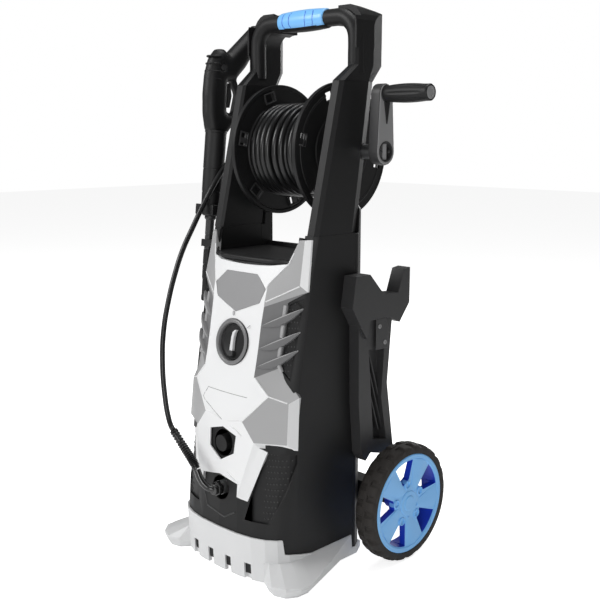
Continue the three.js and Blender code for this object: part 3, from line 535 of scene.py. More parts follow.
def coverShape():
    bm = bmesh.new()
    known = {}

    def spot(point):
        if point not in known:
            x, z = point
            known[point] = bm.verts.new((x, coverY(x, z) - cover["proud"].get(point, 0), z))
        return known[point]

    def panel(points):
        return bm.faces.new([spot(p) for p in points])

    rows = cover["faceRows"]
    for upper, lower in zip(rows, rows[1:]):
        for i in range(3):
            panel([upper[i], upper[i + 1], lower[i + 1], lower[i]])
    facets = ("ear", "earEdge", "veeEdge", "wingTop", "wingSide", "wingEdge", "veeLow", "legEdge", "legSide")
    for label in facets:
        panel(cover[label])
    for i in range(4):
        panel([cover["flank"][i], cover["flankOut"][i], cover["flankOut"][i + 1], cover["flank"][i + 1]])
    panel(cover["veeUnder"])
    mirrorX(bm)
    rim = [e for e in bm.edges if e.is_boundary]
    back = bmesh.ops.extrude_edge_only(bm, edges=rim)["geom"]
    walls = cover["walls"]
    for vert in vertsOf(back):
        place = "top" if vert.co.z > 440 else "leg" if vert.co.z < 225 and abs(vert.co.x) > 40 else "flank"
        vert.co.y += walls["edge"] if abs(vert.co.x) > 105 else walls[place]
        vert.co.x *= 0.93 if place == "leg" else 1.004
    bmesh.ops.recalc_face_normals(bm, faces=bm.faces)
    if sum(f.normal.y for f in bm.faces if abs(f.normal.y) > 0.7) > 0:
        bmesh.ops.reverse_faces(bm, faces=bm.faces)
    bmesh.ops.solidify(bm, geom=bm.faces[:], thickness=cover["wall"])
    bmesh.ops.recalc_face_normals(bm, faces=bm.faces)
    return bm


def inside(x, z, outline):
    crossings = 0
    for (xa, za), (xb, zb) in zip(outline, outline[1:] + outline[:1]):
        if (za > z) != (zb > z) and x < xa + (z - za) / (zb - za) * (xb - xa):
            crossings += 1
    return crossings % 2 == 1


def coverTonesAndShade(bm):  # white in front, with mid-grey flanks; the paler grey on the side facets and the grey on faces turned away from the front are painted shade
    flank = cover["flank"] + list(reversed(cover["flankOut"]))
    for face in bm.faces:
        centre = face.calc_center_median()
        x, z = abs(centre.x), centre.z
        outward = -face.normal.y
        onFlank = inside(x, z, flank) or inside(x, z, cover["veeUnder"])
        # the flanks keep their own grey; the under-bevel and faces turned away from the front get the same
        # grey as painted shade
        if onFlank or (outward < 0.35 and 300 < z < 460 and x > 50):
            face.material_index = 2
        # painted shade: the ear, wing and vee facets, turned to the side, take the paler grey
        elif any(inside(x, z, cover[label]) for label in ("ear", "wingTop", "wingSide", "veeEdge")):
            face.material_index = 1
        # painted shade on lower faces turned away from the front
        elif z < 225 and x > 46 and outward < 0.5:
            face.material_index = 1


dialHeight = 362


def dialPlace():  # the dial's plane: z points out of the sloping face
    lean = math.atan((stationAt(dialHeight + 40)[0] - stationAt(dialHeight - 40)[0]) / 80)
    centre = (0, stationAt(dialHeight)[0] - coverSkin, dialHeight)
    return Matrix.Translation(centre) @ Matrix.Rotation(math.pi / 2 - lean, 4, "X")


def dialHole():
    bm = bmesh.new()
    rod(bm, dial @ Matrix.Translation((0, 0, -10)), 31.3, 60, 48)
    return bm


badge = {
    "outline": [(-35, 468), (-57, 448), (-48, 426), (0, 408), (48, 426), (57, 448), (35, 468)],
    "middle": 440, "sink": 1.2,
}
inletWindow = [(0, 180), (28, 196), (30, 223.5), (0, 232), (-30, 223.5), (-28, 196)]


def badgeShape(shrink, outer, inner):
    bm = bmesh.new()
    middle = badge["middle"]
    bm.faces.new([bm.verts.new((x * shrink, 0, middle + (z - middle) * shrink)) for x, z in badge["outline"]])
    for cutX in (-38, -19, 0, 19, 38):
        bmesh.ops.bisect_plane(bm, geom=bm.verts[:] + bm.edges[:] + bm.faces[:],
                               plane_co=(cutX, 0, 0), plane_no=(1, 0, 0))
    for vert in bm.verts:
        crown = cover["proud"][(60, 457)] * (vert.co.x / 60) ** 2
        vert.co.y = coverY(min(abs(vert.co.x), 60), vert.co.z) - outer - crown
    grown = bmesh.ops.extrude_face_region(bm, geom=bm.faces[:])["geom"]
    bmesh.ops.translate(bm, vec=(0, outer + inner, 0), verts=vertsOf(grown))
    bmesh.ops.recalc_face_normals(bm, faces=bm.faces)
    return bm


dial = dialPlace()
coverBody = cut(coverShape(), [dialHole(), alongY(inletWindow, -160, -90), badgeShape(1.0, 6, badge["sink"])])
coverTonesAndShade(coverBody)
coverSurface = BVHTree.FromBMesh(coverBody)


def onCover(x, z, surface=coverSurface):  # where the front surface is
    hit = surface.ray_cast(Vector((x, -300, z)), Vector((0, 1, 0)))[0]
    return hit if hit else Vector((x, coverY(x, z), z))


def coverLine(bm, route, radius, sink, surface=coverSurface):  # a thin round line that follows the front
    dense = []
    for a, b in zip(route, route[1:]):
        steps = max(2, int(math.dist(a, b) / 4))
        for i in range(steps):
            dense.append(onCover(a[0] + (b[0] - a[0]) * i / steps, a[1] + (b[1] - a[1]) * i / steps, surface))
    dense.append(onCover(*route[-1], surface))
    for a, b in zip(dense, dense[1:]):
        rod(bm, pointing((a + b) / 2 + Vector((0, sink, 0)), b - a), radius, (b - a).length + radius * 0.6, 8)


# the groove lines are dark grey lines laid over the surface where the grooves run, as painted shade
grooveShadeLines, coverRidges = bmesh.new(), bmesh.new()
for route in cover["grooves"]:
    coverLine(grooveShadeLines, route, 0.55, 0.32)
for route in cover["ridges"]:
    coverLine(coverRidges, route, 1.6, 0.2)
for route in cover["sideRidges"]:
    for side in (-1, 1):
        coverLine(coverRidges, [(side * x, z) for x, z in route], 1.15, 0.35)
housingHex = bmesh.new()
coverLine(housingHex, cover["lowerHex"], 1.5, 0.4, BVHTree.FromBMesh(cadShape("main_housing")))
finishPiece("housing_outline", housingHex, "washer", "charcoal", angle=60)
finishPiece("faceted_front_cover", coverBody, "washer", "light", ["front_cover"], bevel=0.9, segments=3,
            angle=14, extra=["paintedShadeAndHighlight", "flank"])
# painted shade: the groove lines take the flank grey
finishPiece("cover_groove_shade_lines", grooveShadeLines, "washer", "flank")
finishPiece("cover_ridges", coverRidges, "washer", "light", angle=60)
finishPiece("plain_badge", badgeShape(0.985, -0.2, 3), "washer", "mid", ["badge_plate"], bevel=0.5, angle=30)


def finShape():  # curved blades: a long thin start, a full middle and an overhanging tip
    bm = bmesh.new()
    for side in (-1, 1):
        for tip in cover["finTips"]:
            start, end = Vector((59, tip - 24)), Vector((112, tip + 4))
            rings = []
            for step in range(9):
                share = step / 8
                spot = start.lerp(end, share) - Vector((0, 5 * math.sin(math.pi * share)))
                seat = spot.x if share < 0.6 else start.lerp(end, 0.55).x  # the tip hangs past the flank
                base = onCover(seat, spot.y).y + max(0, share - 0.55) * 24
                high = 0.6 + 7.4 * math.sin(math.pi * min(1, share * 0.9 + 0.1)) ** 0.8
                half = 0.6 + 6.0 * math.sin(math.pi * min(0.97, share * 0.97))
                section = [(4, -half), (-high * 0.5, -half * 0.9), (-high, half * 0.7), (-high * 0.7, half),
                           (4, half)]
                rings.append([bm.verts.new((side * spot.x, base + y, spot.y + z)) for y, z in section])
            for first, second in zip(rings, rings[1:]):
                for i in range(5):
                    face = bm.faces.new([first[i], first[(i + 1) % 5], second[(i + 1) % 5], second[i]])
                    # the top faces take the paler grey as a painted highlight, the rest the flank grey
                    face.material_index = 0 if i in (2, 3) else 1
            bm.faces.new(rings[0])
            bm.faces.new(rings[-1])
    bmesh.ops.recalc_face_normals(bm, faces=bm.faces)
    return bm


finishPiece("cover_fins", finShape(), "washer", "paintedShadeAndHighlight", bevel=0.5, segments=2, angle=25, extra=["flank"])

# rods along the flanks' outer edges, coloured paler than the flank as a painted highlight
flankEdgeHighlight = bmesh.new()
for side in (-1, 1):
    for (xa, za), (xb, zb) in cover["edgeStrips"]:
        a = onCover(xa - 3, za) + Vector((0, 1.2, 0))
        b = onCover(xb - 3, zb) + Vector((0, 1.2, 0))
        place = Matrix.Diagonal((side, 1, 1, 1)) @ pointing((a + b) / 2, b - a)
        rod(flankEdgeHighlight, place, 3.7, (b - a).length, 6)
bmesh.ops.recalc_face_normals(flankEdgeHighlight, faces=flankEdgeHighlight.faces)
finishPiece("flank_edge_highlight_strips", flankEdgeHighlight, "washer", "paintedShadeAndHighlight", bevel=0.8)
print("front cover made")


# dial and knob
def dialSpun(profile, steps=64):
    bm = spun(bmesh.new(), "z", profile, (0, 0, 0), steps)
    bmesh.ops.transform(bm, matrix=dial, verts=bm.verts)
    return bm


dialRing = dialSpun([
    (29, -9), (31, -9), (31, 0.6), (34.8, 0.6), (35.4, 1.4), (35.2, 2.4), (33.8, 3.4), (31.2, 3.5),
    (29.6, 2.6), (29, 1.2), (29, -9),
])
finishPiece("dial_surround", dialRing, "washer", "ring", ["dial_ring"], angle=40)
shadowLine = dialSpun([(34.6, -0.4), (36.2, -0.4), (36.2, 0.7), (34.6, 0.7), (34.6, -0.4)])
finishPiece("dial_shadow_line", shadowLine, "washer", "black")
knobDish = dialSpun([
    (0, -24), (4, -24), (4, -8), (27.5, -7), (28, -4), (27, -1.2), (25.6, -1), (24.6, -2.4), (22, -3.6),
    (0, -4),
])
finishPiece("knob_dish", knobDish, "switch_knob", "black", ["switch_knob"], angle=50)
pointerOutline = [(-4.6, -19), (4.6, -19), (3.6, -4), (3.4, 6), (4.6, 13), (8.6, 19.6), (3.4, 18.6),
                  (-1.4, 15), (-3.4, 8), (-3.9, -4)]
pointerPlace = dial @ Matrix.Translation((0, 0, -4.4)) @ Matrix.Diagonal((0.8, 1, 1, 1))
pointer = plate(bmesh.new(), pointerOutline, 5.6, pointerPlace)
finishPiece("knob_pointer", pointer, "switch_knob", "silver", bevel=0.9, segments=3, angle=20)
pointerFoot = bmesh.new()
block(pointerFoot, (-5.6, -21.4, -4.4), (5.6, -13.5, 2.4), dial)
finishPiece("knob_pointer_foot", pointerFoot, "switch_knob", "charcoal", bevel=1.1, segments=3)


def digit(name, text, angle, size=10.5, lift=1.7):  # a plain printed number beside the dial
    curve = bpy.data.curves.new(name, "FONT")
    curve.body = text
    curve.size = size
    curve.align_x = "CENTER"
    curve.align_y = "CENTER"
    curve.extrude = 0.12
    holder = bpy.data.objects.new(name + "_text", curve)
    bpy.context.scene.collection.objects.link(holder)
    bpy.context.view_layer.update()
    bm = bmesh.new()
    bm.from_mesh(holder.to_mesh())
    holder.to_mesh_clear()
    bpy.data.objects.remove(holder)
    place = (dial @ Matrix.Rotation(math.radians(angle), 4, "Z") @ Matrix.Translation((0, 43.5, lift)))
    bmesh.ops.transform(bm, matrix=place, verts=bm.verts)
    return finishPiece(name, bm, "washer", "mid")


digit("dial_mark_0", "0", 4)
digit("dial_mark_1", "1", -50, lift=1.3)
print("dial made")

# black housing, columns and the other shells that keep their shape
shells = [
    # node, name, body, finish, bevel, smoothing angle
    ("main_housing", "housing_shell", "washer", "black", 0.9, 28),
    ("rear_cover", "rear_shell", "washer", "black", 1.2, 28),
    ("column_right", "right_column", "washer", "black", 1.6, 20),
    ("column_left", "left_column", "washer", "black", 1.6, 20),
    ("reel_tray", "tray_shelf", "washer", "black", 1.4, 28),
    ("base_chassis", "base_skirt", "washer", "skirt", 1.2, 13),
    ("cord_hook_right", "right_cord_hook", "washer", "charcoal", 1.3, 24),
    ("cord_hook_left", "left_cord_hook", "washer", "charcoal", 1.3, 24),
    ("axle_carrier", "axle_beam", "washer", "black", 1.2, 30),
    ("axle", "axle_rod", "washer", "steel", 0.6, 30),
    ("reel_swivel", "hose_swivel", "washer", "charcoal", 0.8, 30),
    ("reel_shaft", "reel_spindle", "reel", "steel", 0.6, 30),
    ("gun_cradle", "barrel_cradle", "washer", "black", 1.0, 30),
    ("lance_clip", "lance_holder", "washer", "black", 0.8, 30),
    ("cord_gland", "cord_gland_nut", "washer", "black", 0.6, 30),
    ("trigger", "gun_trigger", "trigger", "charcoal", 0.9, 24),
    ("trigger_lock", "trigger_lock_pin", "trigger_lock", "charcoal", 0.7, 30),
    ("gun_coupling", "gun_hose_coupling", "spray_gun", "brass", 0.7, 30),
    ("crank_arm", "crank_lever", "reel", "charcoal", 1.2, 24),
    ("crank_clip", "crank_hub_clip", "reel", "mid", 0.8, 24),
    ("inlet_connector", "water_connector", "washer", "black", 0.9, 30),
]
for node, name, body, finish, bevel, angle in shells:
    finishPiece(name, cadShape(node), body, finish, [node], bevel=bevel, segments=3, angle=angle)
print("shells made")

# handle bar and grip
handleBar = {"radius": 12.6, "y": 59.5, "z": 848, "side": 107, "foot": 764, "bend": 34}


def bentBar():  # one side of the round bar: up from the foot, round the bend and across to the grip
    bar = handleBar
    points = []
    for z in (bar["foot"], bar["foot"] + 22, bar["z"] - bar["bend"]):
        points.append((bar["side"], bar["y"], z))
    for step in range(1, 8):
        turn = math.pi / 2 * step / 8
        points.append((bar["side"] - bar["bend"] * (1 - math.cos(turn)), bar["y"],
                       bar["z"] - bar["bend"] * (1 - math.sin(turn))))
    points.append((bar["side"] - bar["bend"], bar["y"], bar["z"]))
    return points + [(48, bar["y"], bar["z"])]


def handleShape():  # the wide plates behind the bar, with their rear edges slanted
    bm = cadShape("carry_handle")
    front = bmesh.new()
    block(front, (-115.5, 30, 778), (115.5, handleBar["y"], 885))
    tools = [front]
    slants = (((119.6, 84), (128, 84), (128, 122), (110.6, 122), (111, 113.6)),
              ((100.4, 103), (105, 113.6), (105, 122), (88, 122), (88, 103)))
    for side in (-1, 1):
        for slant in slants:
            outline = [(side * x, y) for x, y in slant]
            tools.append(plate(bmesh.new(), outline, 90, Matrix.Translation((0, 0, 790))))
    return cut(bm, tools)


finishPiece("handle_frame", handleShape(), "washer", "black", ["carry_handle"], bevel=1.6, segments=3,
            angle=24)
for side, label in sides:
    route = [(side * x, y, z) for x, y, z in bentBar()]
    tube(f"handle_bar_{label}", route, handleBar["radius"], "washer", "black")

grip = {"half": 49, "radius": 14.8, "crown": 2.0, "marks": (-36, -21, 14, 30), "centre": Vector((0, 60, 848))}


def gripShape():
    profile = [(12.6, -grip["half"]), (14.2, -grip["half"] + 0.6)]
    for step in range(17):
        share = -1 + step / 8
        profile.append((grip["radius"] + grip["crown"] * (1 - share**2), share * (grip["half"] - 2)))
    profile += [(14.2, grip["half"] - 0.6), (12.6, grip["half"])]
    bm = spun(bmesh.new(), "x", profile, grip["centre"], 72)
    for face in bm.faces:
        if face.calc_center_median().z < grip["centre"].z - 10.5:
            face.material_index = 1
    return bm


finishPiece("grip_sleeve", gripShape(), "washer", "blue", ["handle_grip"], angle=50, extra=["black"])
gripMarks = bmesh.new()
for x in grip["marks"]:
    lean = -1 if x < 0 else 1
    high = grip["radius"] + grip["crown"] * (1 - (x / grip["half"]) ** 2) - 0.15
    for step in range(9):
        turn = math.radians(-35 + 10 * step)
        shiftX = lean * (2.2 if step in (0, 8) else 0.6 if step in (1, 7) else 0)
        spot = grip["centre"] + Vector((x - shiftX, 0, 0))
        place = Matrix.Translation(spot) @ Matrix.Rotation(-turn, 4, "X")
        block(gripMarks, (-0.5, -0.3, -1.5), (0.5, 0.45, 1.5), place @ Matrix.Translation((0, -high, 0)))
finishPiece("grip_finger_marks", gripMarks, "washer", "deepBlue")
print("handle made")


# reel
reelAt = Vector((0, 70.3, 648.9))
reel = {"flangeX": 66, "radius": 104.5, "hoseRadius": 5.3, "outerTurns": (-57, -46.2, -35.4, -24, -8, 6),
        "slots": 6, "slotRadius": 87}


def flangeShape(side):
    outer = reel["radius"]
    rimSteps = [(7, -0.6), (5.5, -2.4), (0.6, -2.4), (0, -1.6), (0, 4.4), (0.6, 5), (3.4, 5), (4, 4), (12, 4),
                (13, 5), (15, 5), (16, 4)]
    profile = [(12, -1.2), (44, -1.2), (46, -2.6), (72, -2.6), (74, -0.6)]
    profile += [(outer - short, height) for short, height in rimSteps]
    profile += [(60, 4), (58, 5.6), (38, 5.6), (36, 4), (12, 4), (12, -1.2)]
    if side < 0:
        profile = [(radius, -height) for radius, height in reversed(profile)]
    bm = spun(bmesh.new(), "x", profile, (side * reel["flangeX"], reelAt.y, reelAt.z), 96)
    tools = []
    for number in range(reel["slots"]):
        tool = bmesh.new()
        middle, high = side * reel["flangeX"], reel["slotRadius"]
        block(tool, (middle - 12, -10, high - 7), (middle + 12, 10, high + 7), slotPlace(number))
        tools.append(tool)
    return cut(bm, tools)


def slotPlace(number):  # at the reel's middle, turned so that z runs through a slot
    turn = math.tau * (number + 0.3) / reel["slots"]
    return Matrix.Translation(reelAt) @ Matrix.Rotation(turn, 4, "X")


def flangeClips(side):  # the frames of the slots, and a bar in every other one
    bm = bmesh.new()
    x, middle = side * 62.6, reel["slotRadius"]
    bars = ((-11.5, -8.5, 11.5, -7), (-11.5, 7, 11.5, 8.5), (-11.5, -7, -10, 7), (10, -7, 11.5, 7))
    for number in range(reel["slots"]):
        place = slotPlace(number)
        for lowY, lowZ, highY, highZ in bars:
            block(bm, (x - 1.6, lowY, middle + lowZ), (x + 1.6, highY, middle + highZ), place)
        if number % 2:
            block(bm, (x - 4, -6, middle - 6), (x + 1, 2, middle + 6), place)
    return bm


for side, label in sides:
    finishPiece(f"flange_{label}", flangeShape(side), "reel", "black", [f"reel_flange_{label}"], bevel=0.4,
                angle=35)
    finishPiece(f"flange_frames_{label}", flangeClips(side), "reel", "charcoal", bevel=0.3)

drumProfile = [(20, -62), (39.6, -62), (42, -61), (42, -56), (40, -55), (40, 55), (42, 56), (42, 61),
               (39.6, 62), (20, 62), (20, -62)]
drumCore = spun(bmesh.new(), "x", drumProfile, reelAt, 64)
finishPiece("reel_core", drumCore, "reel", "black", ["reel_drum"], angle=35)


def hoseTurns():  # a full lower layer with a looser one over it
    bm = bmesh.new()
    small = reel["hoseRadius"]
    layers = [(64, [-58 + 11.3 * i for i in range(11)]), (69.6, reel["outerTurns"]),
              (50, [-52 + 26 * i for i in range(5)])]
    turns = [math.tau * i / 16 for i in range(16)]
    for radius, places in layers:
        for x in places:
            ring = [(radius + small * math.cos(turn), small * math.sin(turn)) for turn in turns]
            spun(bm, "x", ring + ring[:1], (x, reelAt.y, reelAt.z), 96)
    return bm


finishPiece("wound_hose_turns", hoseTurns(), "reel", "hose", ["wound_hose"], angle=60)
print("reel made")


# crank
crank = {"face": 157, "throw": 84, "hub": 20, "end": 15, "grip": (158.2, 239), "flutes": 8}
hubAt = Vector((crank["face"], reelAt.y, reelAt.z))
pinAt = reelAt + Vector((0, 0, crank["throw"]))


def crankFace():  # the paler outer face, with the round recess left open
    outline = []
    for centre, radius, start in ((reelAt, crank["hub"] - 1, math.pi), (pinAt, crank["end"] - 1, 0)):
        for step in range(13):
            turn = start + math.pi * step / 12
            outline.append((centre.y + radius * math.cos(turn), centre.z + radius * math.sin(turn)))
    hole = spun(bmesh.new(), "x", [(0, -20), (15.2, -20), (15.2, 20), (0, 20)], hubAt, 48)
    return cut(alongX(outline, 156.8, 157.9), [hole])


finishPiece("crank_face", crankFace(), "reel", "satin", bevel=0.5, angle=30)
crankRib = bmesh.new()
webOutline = [(reelAt.y + y, reelAt.z + z) for y, z in ((-6, 73), (6, 73), (0, 40))]
plate(crankRib, webOutline, 2.6, sideways(157.6))
finishPiece("crank_web", crankRib, "reel", "black", bevel=0.6)
cupProfile = [(13.2, -4.5), (15.4, -4.5), (15.4, 1.3), (14.4, 1.6), (13.2, 1.2), (13.2, -4.5)]
crankCup = spun(bmesh.new(), "x", cupProfile, hubAt, 48)
for side in (-1, 1):
    spun(crankCup, "x", [(0, -3), (2.6, -3), (2.6, 0.3), (1.8, 0.9), (0, 0.9)],
         (156, reelAt.y + side * 9.4, reelAt.z), 20)
finishPiece("crank_recess_rim", crankCup, "reel", "charcoal", angle=40)
crankCollar = spun(bmesh.new(), "x", [(7, 0), (13.6, 0), (14.4, 1), (14.4, 3.4), (12, 5), (7.6, 5.2), (7, 0)],
                   (153.4, pinAt.y, pinAt.z), 48)
finishPiece("crank_collar", crankCollar, "reel", "charcoal", angle=35)


def crankGrip():  # barrel shaped, with long hollows round it
    low, high = crank["grip"]
    length = high - low
    profile = [(6.5, 1), (10.4, 0.2), (11.4, 2)]
    for step in range(1, 20):
        share = step / 20
        profile.append((11.6 + 2.3 * math.sin(math.pi * share) ** 0.8, 2 + share * (length - 8)))
    end = [(12, 5), (12.1, 2), (11, 0.6), (9.8, 0.8), (9.6, 1.6), (0, 1.6)]
    profile += [(radius, length - short) for radius, short in end]
    bm = spun(bmesh.new(), "x", profile, (low, 0, 0), 96)
    for vert in bm.verts:
        share = (vert.co.x - low) / length
        radius = math.hypot(vert.co.y, vert.co.z)
        if 0.1 < share < 0.86 and radius > 9:
            turn = math.atan2(vert.co.z, vert.co.y)
            fade = math.sin(math.pi * (share - 0.1) / 0.76) ** 0.5
            depth = 1.3 * max(0, math.cos(crank["flutes"] * turn)) * fade
            vert.co.y *= 1 - depth / radius
            vert.co.z *= 1 - depth / radius
    bmesh.ops.translate(bm, vec=pinAt, verts=bm.verts)
    return bm


finishPiece("crank_handgrip", crankGrip(), "crank_grip", "black", ["crank_grip"], angle=45)
capProfile = [(0, -1.8), (9.3, -1.8), (9.3, -0.9), (8.6, -0.4), (6, -0.4), (5.6, -0.9), (0, -0.9)]
gripCap = spun(bmesh.new(), "x", capProfile, (crank["grip"][1], pinAt.y, pinAt.z), 40)
finishPiece("crank_grip_cap", gripCap, "crank_grip", "satin", angle=35)
print("crank made")


# wheels
wheel = {"radius": 95, "half": 18, "treadSteps": 192, "spokes": 5, "openInner": 34, "openOuter": 71.5,
         "tyreX": 172, "rimX": 171.5}


def tyreShape(side):
    outer, wide, steps = wheel["radius"], wheel["half"], wheel["treadSteps"]
    profile = [(79.6, -wide + 1), (80.4, -wide), (90, -wide), (93, -wide + 2), (94.2, -wide + 5), (outer, -9),
               (outer, -3), (outer - 0.8, -2.4), (outer - 0.8, 2.4), (outer, 3), (outer, 9), (94.2, wide - 5),
               (93, wide - 2), (90, wide), (81.6, wide), (80.6, wide - 1), (79.6, wide - 1),
               (79.6, -wide + 1)]
    bm = spun(bmesh.new(), "x", profile, (0, 0, 0), steps)
    for vert in bm.verts:
        radius = math.hypot(vert.co.y, vert.co.z)
        if radius < 90.6:
            continue
        place = round(math.atan2(vert.co.z, vert.co.y) / math.tau * steps) % steps
        shifted = place + (3 if vert.co.x > 0 else 0)
        depth = 3.2 if shifted % 8 < 3 and abs(vert.co.x) > 2.8 else 0
        vert.co.y *= 1 - depth / radius
        vert.co.z *= 1 - depth / radius
    bmesh.ops.translate(bm, vec=(side * wheel["tyreX"], wheelAxle.y, wheelAxle.z), verts=bm.verts)
    return bm


def polar(radius, degrees):
    return (radius * math.cos(math.radians(degrees)), radius * math.sin(math.radians(degrees)))


def toRim(bm, side):  # turned round for the left side, and moved to its place
    if side < 0:
        bmesh.ops.scale(bm, vec=(-1, 1, 1), verts=bm.verts)
        bmesh.ops.reverse_faces(bm, faces=bm.faces)
    bmesh.ops.translate(bm, vec=(side * wheel["rimX"], wheelAxle.y, wheelAxle.z), verts=bm.verts)
    return bm


def rimShape(side):
    profile = [(6.3, -22), (16, -22), (16, -2), (24, 2), (70, 6), (72, -14), (76, -16), (79.3, -16),
               (79.3, 15.6), (80.6, 16.4), (80.6, 17.8), (79, 18.8), (73.6, 18.2), (72, 16.4), (30, 14.2),
               (24, 15.4),
               (6.3, 15.4), (6.3, -22)]
    bm = spun(bmesh.new(), "x", profile, (0, 0, 0), 120)
    tools = []
    for number in range(wheel["spokes"]):
        start = 72 * number + 20
        outline = [polar(wheel["openInner"], start + 22), polar(wheel["openInner"] + 6, start - 3)]
        outline += [polar(wheel["openOuter"], start - 8 + 7 * i) for i in range(6)]
        tools.append(alongX(outline, -30, 30))
    bm = cut(bm, tools)
    # the walls of the spoke openings and the inner faces of the rim take the deep blue as painted shade
    for face in bm.faces:
        centre = face.calc_center_median()
        if abs(face.normal.x) < 0.5 and math.hypot(centre.y, centre.z) < 74:
            face.material_index = 1
    return toRim(bm, side)


def spokeShape(side):  # a ridged blade on each spoke, and the stepped cap over the hub
    bm = bmesh.new()
    for number in range(wheel["spokes"]):
        start = 72 * number + 47
        corners = [(19, start - 14, 14.6), (24, start + 3, 17), (20, start + 20, 14.6),
                   (73, start + 36, 16.6), (73, start + 18, 18.6), (73, start + 5, 16.6)]
        verts = [bm.verts.new((x, *polar(radius, degrees))) for radius, degrees, x in corners]
        bm.faces.new([verts[0], verts[1], verts[4], verts[5]])
        bm.faces.new([verts[1], verts[2], verts[3], verts[4]])
    rim = [e for e in bm.edges if e.is_boundary]
    skirt = bmesh.ops.extrude_edge_only(bm, edges=rim)["geom"]
    for vert in vertsOf(skirt):
        vert.co.x = 12.4
    boss = [(4.2, 6), (7, 6), (7, 15.8), (6.2, 16.6), (5, 16.2), (4.2, 14), (4.2, 6)]
    for number in range(wheel["spokes"]):
        spun(bm, "x", boss, (0, *polar(31, 72 * number + 24)), 24)
    cap = [(0, 17.9), (11, 17.9), (12, 17.3), (12.4, 16.6), (19, 16.6), (20, 16), (20.4, 14), (0, 14)]
    spun(bm, "x", cap, (0, 0, 0), 60)
    bmesh.ops.recalc_face_normals(bm, faces=bm.faces)
    return toRim(bm, side)


for side, label in sides:
    body = f"wheel_{label}"
    finishPiece(f"tread_tyre_{label}", tyreShape(side), body, "tyre", [f"tyre_{label}"], angle=40)
    finishPiece(f"spoked_rim_{label}", rimShape(side), body, "blue", [f"wheel_rim_{label}"], bevel=0.6,
                angle=35, extra=["deepBlue"])
    finishPiece(f"spoke_blades_{label}", spokeShape(side), body, "blue", bevel=0.8, segments=3, angle=20)
print("wheels made")


# spray gun
gun = {"middle": (-150, 2, 678), "lean": 6.3, "voxel": 1.7, "smoothing": 14, "round": 14, "edge": 0.22,
       "outline": [(-20, 0.3), (-27, 26), (-30, 60), (-29, 92), (-23, 118), (-12, 133), (2, 135), (10, 128),
                   (66, 186), (84, 168), (50, 112), (31, 90), (47, 66), (40, 26), (20, 0.3)],
       "fingerGap": [(12, 84), (22, 86), (36, 66), (31, 34), (14, 34)], "backRibs": (72, 84, 96, 108, 120)}
gunPlace = Matrix.Translation(gun["middle"]) @ Matrix.Rotation(math.radians(gun["lean"]), 4, "X").inverted()


def edgeDistance(y, z):  # how far a place is from the gun's outline or its finger gap
    nearest = 1000
    for outline in (gun["outline"], gun["fingerGap"]):
        for (ya, za), (yb, zb) in zip(outline, outline[1:] + outline[:1]):
            if za == zb == 0.3:  # the cut end that meets the barrel
                continue
            runY, runZ = yb - ya, zb - za
            share = ((y - ya) * runY + (z - za) * runZ) / (runY**2 + runZ**2)
            share = min(1, max(0, share))
            nearest = min(nearest, math.hypot(y - ya - share * runY, z - za - share * runZ))
    return nearest


def gunShape():
    bm = cadShape("gun_body")
    bmesh.ops.transform(bm, matrix=gunPlace.inverted(), verts=bm.verts)
    bm = softened(bm, gun["voxel"], 6)
    for vert in bm.verts:
        deep = min(edgeDistance(vert.co.y, vert.co.z), gun["round"]) / gun["round"]
        vert.co.x *= gun["edge"] + (1 - gun["edge"]) * math.sqrt(1 - (1 - deep) ** 2)
    for _ in range(gun["smoothing"]):
        bmesh.ops.smooth_vert(bm, verts=bm.verts, factor=0.5,
                              use_axis_x=True, use_axis_y=True, use_axis_z=True)
    bmesh.ops.transform(bm, matrix=gunPlace, verts=bm.verts)
    return bm


def barrel(profile, name, body, finish, nodes):
    bm = spun(bmesh.new(), "z", profile, (0, 0, 0), 56)
    bmesh.ops.transform(bm, matrix=gunPlace, verts=bm.verts)
    finishPiece(name, bm, body, finish, nodes, angle=32)


finishPiece("gun_grip_body", gunShape(), "spray_gun", "black", ["gun_body"], angle=60)
gunRibs = bmesh.new()
for high in gun["backRibs"]:
    place = gunPlace @ Matrix.Translation((0, -13.2 + 0.03 * (high - 72), high))
    narrower = abs(high - 88) * 0.05
    rod(gunRibs, place @ Matrix.Diagonal((0.93, 1, 1, 1)), 17.1 - narrower, 2.4, 40, 16.8 - narrower)
finishPiece("gun_back_ribs", gunRibs, "spray_gun", "black", bevel=0.7)
barrel([(0, 2), (18.4, 2), (18.4, -1.4), (17.6, -2), (17.5, -60), (16.9, -60.6), (16.9, -62),
        (17.3, -62.6), (17, -98), (16.4, -98.6), (16.4, -100), (16.8, -100.6), (16.4, -131), (15.4, -136),
        (12, -139), (0, -139)],
       "gun_barrel_sleeve", "spray_gun", "black", ["gun_barrel"])
barrel([(0, -139.2), (9.4, -139.2), (9.6, -143), (7.2, -146), (7, -170), (6.5, -170.6), (6.5, -172),
        (7, -172.6), (7, -194.8), (0, -194.8)], "lance", "spray_gun", "charcoal", ["lance_tube"])
barrel([(0, -195.4), (7.5, -195.4), (7.6, -219), (6.9, -219.8), (6.9, -221.4), (7.5, -222), (7.4, -242),
        (6.3, -246), (6.1, -272), (6.6, -273), (6.6, -279), (5.4, -281.8), (3.2, -281.8), (2.6, -276),
        (0, -276)],
       "nozzle_tip", "nozzle", "black", ["nozzle"])
print("spray gun made")

